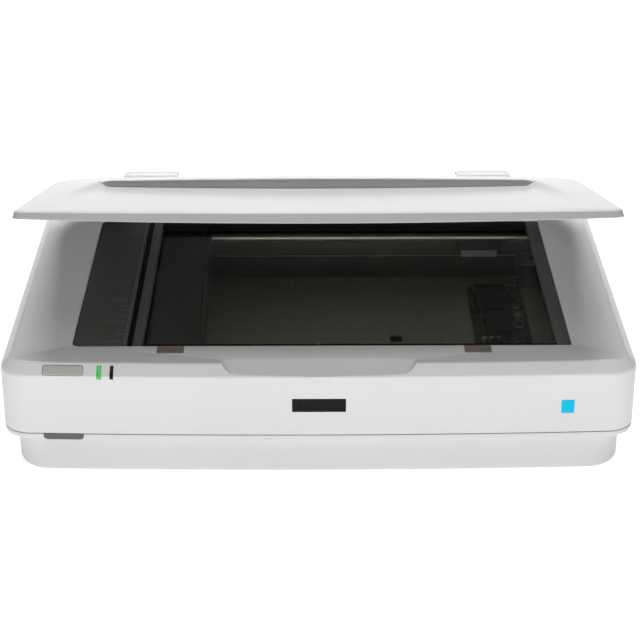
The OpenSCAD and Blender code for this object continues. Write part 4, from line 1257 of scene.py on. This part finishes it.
def gear(radius, teeth, tip, root, z0, z1, bore, pose, name="part"):
    """Gear ring; tip and root are the tooth height and depth from the pitch radius."""
    # share of the tooth pitch, radius
    tooth = ((-0.50, radius - root), (-0.30, radius - root), (-0.16, radius + tip * 0.2),
             (-0.08, radius + tip), (0.08, radius + tip), (0.16, radius + tip * 0.2),
             (0.30, radius - root))
    chamfer = 0.25
    points = []
    for k in range(teeth):
        for share, reach in tooth:
            angle = 2 * pi * k / teeth + share * 2 * pi / teeth
            points.append((reach * cos(angle), reach * sin(angle)))
    hole = [(bore * cos(atan2(y, x)), bore * sin(atan2(y, x))) for x, y in points]
    small = [(x * (1 - chamfer / radius), y * (1 - chamfer / radius)) for x, y in points]
    rings = [level(hole, z0), level(small, z0), level(points, z0 + chamfer),
             level(points, z1 - chamfer), level(small, z1), level(hole, z1)]
    return loft(rings, pose, name, closed=True)


def belt_wheel(foot, pose):
    """Flanged wheel with belt teeth; foot is the profile below the lower flange."""
    # radius, z
    flanges = [(10.0, 90.0), (10.4, 90.3), (10.4, 90.7), (10.0, 91), (7.5, 91.2), (7.5, 98.8),
               (10.0, 99), (10.4, 99.3), (10.4, 99.7), (10.0, 100), (SHAFT_BORE, 100)]
    return [revolve(foot + flanges, 48, pose),
            gear(7.6, 24, 0.35, 0.4, 91.2, 98.8, bore=7.0, pose=pose)]


def stepper_motor():
    def block(size, radius, *stations):
        return loft([level(rounded(size - 2 * inset, size - 2 * inset, radius, 5,
                                   MOTOR_X, BELT_Y), z) for inset, z in stations])

    parts = [block(35, 4, (0.5, z0), (0, z0 + 0.5), (0, z1 - 0.5), (0.5, z1))
             for z0, z1 in ((33, 40), (56.9, 63.9))]
    for k in range(16):
        z = 40.05 + k * 1.05
        parts.append(block(33.6, 6, (0, z), (0, z + 0.9)))
    parts.append(revolve([(0.01, 60), (1.99, 60), (1.99, 70.7), (1.7, 71), (0.01, 71)], 24,
                         move(MOTOR_X, BELT_Y)))
    parts.append(pillow(4.2, 14, 0.6, 34, 42, edge=0.5,
                        pose=move(MOTOR_X - 17.5 - 1.9, BELT_Y)))
    finish(join("step_motor", parts), "base", "motor_metal", "motor_can", "stepper_motor",
           smooth=34)


drive_belt()
DRIVE_POSE = move(PULLEY_X, BELT_Y)
DRIVE_PARTS = [gear(15.3, 48, 0.3, 0.9, 66.6, 71.0, bore=SHAFT_BORE,
                    pose=DRIVE_POSE @ turn(pi / 48, "Z"))]
DRIVE_PARTS += belt_wheel([(SHAFT_BORE, 70.9), (6, 70.9), (6, 89.6), (6.6, 90.0)], DRIVE_POSE)
finish(join("drive_pulley_gear", DRIVE_PARTS), "drive_pulley", "gear_plastic", "acetal",
       "drive_pulley", smooth=30)
finish(join("idler_wheel", belt_wheel([(SHAFT_BORE, 90.0)], move(-PULLEY_X, BELT_Y))),
       "idler_pulley", "gear_plastic", "acetal", "idler_pulley", smooth=30)
finish(gear(3.75, 12, 0.2, 0.5, 66.6, 70.8, bore=2.05, pose=move(MOTOR_X, BELT_Y),
            name="motor_gear"),
       "motor_pinion", "bush_bronze", "sinter_bronze", "motor_pinion", smooth=30)
SPRING_PATH = ([(0, 0, 0.2), (0.6, 0, 0.5), (1.6, 0, 1.2)] + helix(2.6, 2.0, 10.0, 180, 18)
               + [(1.4, 0, 13.0), (0, 0, 13.8)])
finish(wire(SPRING_PATH, 0.55, axis_x(-297.5, BELT_Y, 74), "belt_spring_coil"),
       "base", "spring_steel", "spring_wire", "tension_spring", smooth=60)
stepper_motor()

# ---------------------------------------------------------------- circuit boards
BOARD_T = 1.6


def board(name, x0, x1, y0, y1, z, hole_inset, slot, material, replaced):
    obj = prism(rounded(x1 - x0, y1 - y0, 2, 4, (x0 + x1) / 2, (y0 + y1) / 2), z, z + BOARD_T,
                name=name)
    for y in (y0 + hole_inset, y1 - hole_inset):
        for x in (x0 + hole_inset, x1 - hole_inset):
            cut(obj, prism(circle(1.6, 20, x, y), z - 1, z + 3))
    bevel(obj, 0.15, segments=1)
    finish(obj, "base", slot, material, replaced, smooth=34)


def chip(z, x, y, width, depth, height, pin_axis="y"):
    """Chip with a row of pins on both sides that face along pin_axis."""
    parts = [pillow(width, depth, 0.4, z + 0.25, z + height, edge=0.25, pose=move(x, y),
                    corner=3, steps=2)]
    along_x = pin_axis == "y"
    count = max(3, int((width if along_x else depth) / 2.2))
    for k in range(count):
        t = (k + 0.5) / count - 0.5
        for side in (-1, 1):
            if along_x:
                y0, y1 = sorted((y + side * depth / 2, y + side * (depth / 2 + 1.3)))
                x0, x1 = x + t * width - 0.4, x + t * width + 0.4
            else:
                x0, x1 = sorted((x + side * width / 2, x + side * (width / 2 + 1.3)))
                y0, y1 = y + t * depth - 0.4, y + t * depth + 0.4
            parts.append(box(x0, x1, y0, y1, z, z + 0.5))
    return parts


def chips(z, rows):
    return [part for row in rows for part in chip(z, *row)]


def can(x, y, z, radius, height):
    """Capacitor can with a crimped waist."""
    profile = [(0.01, z), (radius * 0.94, z), (radius, z + 0.4), (radius, z + 1.4),
               (radius * 0.93, z + 1.9), (radius, z + 2.4), (radius, z + height - 0.6),
               (radius * 0.9, z + height), (radius * 0.7, z + height - 0.3),
               (0.01, z + height - 0.3)]
    return revolve(profile, 28, move(x, y))


def header(x, y, z, width, depth, height, pins, axis):
    """Open-topped socket with a row of pins along an axis."""
    half_w, half_d = width / 2, depth / 2
    shell = box(x - half_w, x + half_w, y - half_d, y + half_d, z, z + height)
    cut(shell, box(x - half_w + 1, x + half_w - 1, y - half_d + 1, y + half_d - 1,
                   z + 1.5, z + height + 1))
    parts = [shell]
    for k in range(pins):
        t = (k + 0.5) / pins - 0.5
        pin_x = x + (t * (width - 3) if axis == "x" else 0)
        pin_y = y + (t * (depth - 3) if axis == "y" else 0)
        parts.append(box(pin_x - 0.35, pin_x + 0.35, pin_y - 0.35, pin_y + 0.35,
                         z + 1, z + height - 1))
    return parts


def fit_parts(board_name, slot, black, cans):
    """Puts a board's black parts and metal parts on it; each is a maker of parts."""
    for suffix, make, material in (("parts", black, "chip_black"), ("cans", cans, "cap_can")):
        finish(join(board_name + "_" + suffix, make()), "base", slot, material, smooth=34)


def driver_black():
    z = 34 + BOARD_T
    # x, y, width, depth, height, pin axis
    parts = chips(z, ((212, 116, 22, 22, 2.6), (236, 132, 8, 6, 1.8), (232, 146, 8, 6, 1.8),
                      (205, 88, 10, 8, 2), (222, 86, 8, 12, 2, "x"), (236, 22, 10, 14, 2, "x")))
    parts += header(209, 154.5, z, 38, 9, 8.8, 14, "x") + header(190, 116, z, 8, 40, 6.8, 10, "y")
    parts += [pillow(29.6, 39.6, 1.6, z, 47.3, edge=1.0, pose=move(211, 52)),
              pillow(22, 30, 1.2, 36, 47.4, edge=0.4, pose=move(211, 52))]
    parts += [pillow(5, 2.4, 0.4, z, z + 1, edge=0.3, pose=move(x, y), corner=3, steps=2)
              for x, y in ((198, 96), (214, 98), (226, 100), (196, 80), (216, 78), (230, 12),
                           (206, 8), (196, 14), (220, 4), (243, 112))]
    return parts


def driver_cans():
    """Capacitors, and the spacers under the board's corner holes."""
    z = 34 + BOARD_T
    parts = [can(236, y, z, 5, 10.8) for y in (60, 76, 92)]
    parts += [can(x, 18, z, 3, 7) for x in (192, 200, 208)]
    parts += [revolve([(1.7, 31.5), (3, 31.5), (3, 34), (1.7, 34)], 20, move(x, y))
              for x in (188, 242) for y in (-4, 164)]
    return parts


def logic_black():
    z = 12 + BOARD_T
    return chips(z, ((123, 143, 26, 26, 2), (67, 130, 14, 20, 1.8, "x"),
                     (179, 116, 18, 12, 2.2), (150, 170, 12, 8, 1.8))) + header(
                         208, 165, z, 24, 30, 10.8, 8, "y")


def logic_cans():
    return [can(x, 158, 12 + BOARD_T, 3.5, 8.8) for x in (60, 72, 84)]


def supply_black():
    z = 9 + BOARD_T
    parts = [pillow(34, 30, 1.5, z, 27.4, edge=1.0, pose=move(-253, 99)),
             pillow(26, 22, 1.5, 12, 26, edge=1.0, pose=move(-253, 99))]
    return parts + chip(z, -258, 152, 28, 24, 11)


def supply_cans():
    """Capacitors and a row of nine upright fins."""
    z = 9 + BOARD_T
    parts = [can(x, y, z, 9, 16.8) for x in (-222, -196) for y in (112, 138)]
    parts += [box(-220 + k * 4.5, -220 + k * 4.5 + 1.4, 80, 90, z, 26.4) for k in range(9)]
    return parts


board("driver_board", 182, 248, -10, 170, z=34, hole_inset=6, slot="circuit_board",
      material="circuit_dark", replaced="motor_driver_board")
fit_parts("driver_board", "circuit_board", driver_black, driver_cans)
board("logic_board", 40, 240, 95, 205, z=12, hole_inset=8, slot="circuit_board",
      material="circuit_green", replaced="main_board")
fit_parts("logic_board", "circuit_board", logic_black, logic_cans)
board("supply_board", -288, -152, 62, 188, z=9, hole_inset=6, slot="supply_board",
      material="circuit_brown", replaced="power_supply")
fit_parts("supply_board", "supply_board", supply_black, supply_cans)


# ---------------------------------------------------------------- flat cable
def flat_cable():
    """Ribbed ribbon that runs left under the carriage and folds back over itself."""
    # x, z
    path = [(181.5 - 353.5 * k / 60, 31.85) for k in range(61)]
    path += arc(-172, 49.75, 17.9, -pi / 2, -pi, 24, skip=1)
    path += [(-168, 67.65), (-160.5, 67.65)]
    points = [Vector((x, 0, z)) for x, z in path]
    ribs, last = 26, len(points) - 1
    verts = []
    for i, point in enumerate(points):
        along = (points[min(i + 1, last)] - points[max(i - 1, 0)]).normalized()
        normal = Vector((-along.z, 0, along.x))
        for side in (1, -1):
            for k in range(ribs + 1):
                half = 0.12 + (0.08 if k % 2 else 0.0)
                across = Vector((0, -12 + 26 * k / ribs, 0))
                verts.append(tuple(point + normal * side * half + across))
    row, under = 2 * (ribs + 1), ribs + 1
    faces = []
    for i in range(last):
        for k in range(ribs):
            a = i * row + k
            b = a + under
            faces += [(a, a + 1, a + row + 1, a + row), (b + 1, b, b + row, b + row + 1)]
        a, b = i * row, i * row + under
        faces.append((b, a, a + row, b + row))
        a, b = a + ribs, b + ribs
        faces.append((a, b, b + row, a + row))
    for k in range(ribs):
        faces.append((k, k + under, k + under + 1, k + 1))
    for k in range(last * row, last * row + ribs):
        faces.append((k + 1, k + under + 1, k + under, k))
    finish(clean_object("ribbon_cable", verts, faces), "base", "cable_plastic", "cable_white",
           "flat_cable", smooth=50)


flat_cable()

# ---------------------------------------------------------------- CAD pieces kept as they are
CAD_MATERIALS = {
    "document_glass": "document_glass", "white_reference_strip": "white_plastic",
    "chassis_plate": "dark_sheet", "guide_rod": "guide_steel", "rod_brackets": "zinc_sheet",
    "front_rail": "zinc_sheet", "idler_bracket": "zinc_sheet", "motor_bracket": "zinc_sheet",
    "mains_inlet": "frame_black", "data_port": "port_shell", "button_board": "circuit_green",
    "carriage_cover": "carriage_black", "light_bar": "light_guide", "mirrors": "mirror_glass",
    "lens_barrel": "motor_can", "sensor_board": "circuit_green", "rod_bushes": "sinter_bronze",
    "front_slider": "white_plastic", "transport_lock": "lock_blue",
}
THIN_NODES = ("mirrors", "document_glass", "white_reference_strip")


def dress_cad():
    """Material, smooth shading and softened edges; unlisted nodes are dark plastic."""
    for node, obj in frame["nodes"].items():
        if obj.hide_render:
            continue
        mesh = obj.data
        mesh.materials.clear()
        mesh.materials.append(MATERIALS[CAD_MATERIALS.get(node, "dark_plastic")])
        for face in mesh.polygons:
            face.material_index = 0
            face.use_smooth = True
        if "custom_normal" in mesh.attributes:
            mesh.attributes.remove(mesh.attributes["custom_normal"])
        weld = obj.modifiers.new("weld", "WELD")
        weld.merge_threshold = 1e-6
        edge = obj.modifiers.new("edge", "BEVEL")
        edge.width = (0.12 if node in THIN_NODES else 0.3) * MM
        edge.segments = 2
        edge.limit_method = "ANGLE"
        edge.angle_limit = radians(32)
        edge.harden_normals = True


dress_cad()


# ---------------------------------------------------------------- stage and world
def floor():
    reach = 9000
    obj = mesh_object("floor", [(-reach, -reach, 0), (reach, -reach, 0), (reach, reach, 0),
                                (-reach, reach, 0)], [(0, 1, 2, 3)])
    obj.data.materials.append(MATERIALS["floor_white"])


def studio_world():
    """White to the camera, dim to everything else."""
    world = bpy.data.worlds.new("studio")
    bpy.context.scene.world = world
    world.use_nodes = True
    tree = world.node_tree
    tree.nodes.clear()
    dim = add_node(tree, "Background", {"Color": (1, 1, 1), "Strength": 0.05})
    white = add_node(tree, "Background", {"Color": (1, 1, 1), "Strength": 1.0})
    seen = add_node(tree, "LightPath").outputs["Is Camera Ray"]
    mix = add_node(tree, "MixShader", {0: seen, 1: dim.outputs[0], 2: white.outputs[0]})
    add_node(tree, "OutputWorld", {0: mix.outputs[0]})


def area_light(name, at, target, size, power, color=(1, 1, 1)):
    """Rectangular light aimed at a target; places and sizes in metres, power in watts."""
    light = bpy.data.lights.new(name, "AREA")
    light.shape = "RECTANGLE"
    light.size, light.size_y = size
    light.energy = power
    light.color = color
    obj = add_object(name, light)
    obj.location = at
    obj.rotation_mode = "QUATERNION"
    obj.rotation_quaternion = (Vector(target) - Vector(at)).to_track_quat("-Z", "Y")


def camera():
    """Looks down at the front shoulder, from nearly straight ahead."""
    pitch, yaw = radians(26.0), radians(0.38)
    distance, rise, shift = 1918.9, 56.8, 3.05
    forward = Vector((sin(yaw) * cos(pitch), cos(yaw) * cos(pitch), -sin(pitch)))
    right = Vector((cos(yaw), -sin(yaw), 0))
    upward = right.cross(forward)
    target = Vector((0, FRONT, SHOULDER))
    place = target - forward * distance + upward * rise + right * shift
    data = bpy.data.cameras.new("camera")
    data.sensor_width = 36
    data.lens = 105.67453416
    data.clip_start, data.clip_end = 0.05, 60       # metres
    obj = add_object("camera", data)
    pose = Matrix((right, upward, -forward)).transposed().to_4x4()
    pose.translation = place * MM
    obj.matrix_world = pose
    bpy.context.scene.camera = obj


floor()
studio_world()
COOL = (0.88, 0.95, 1)
area_light("top_soft", at=(0, 1.25, 2.5), target=(0, 0, 0.1), size=(2.0, 1.6), power=73)
area_light("high_soft", at=(0, -0.9, 2.6), target=(0, -0.1, 0.15), size=(1.8, 1.3), power=9)
area_light("front_soft", at=(-0.2, -2.6, 0.42), target=(0, -0.2, 0.12), size=(2.6, 0.5),
           power=29)
area_light("left_soft", at=(-2.2, -0.5, 0.5), target=(0, 0, 0.13), size=(1.6, 0.5),
           power=0.6, color=COOL)
area_light("right_soft", at=(2.2, -0.5, 0.5), target=(0, 0, 0.13), size=(1.6, 0.5),
           power=2.5, color=COOL)
camera()
bpy.context.scene.view_settings.view_transform = "Standard"
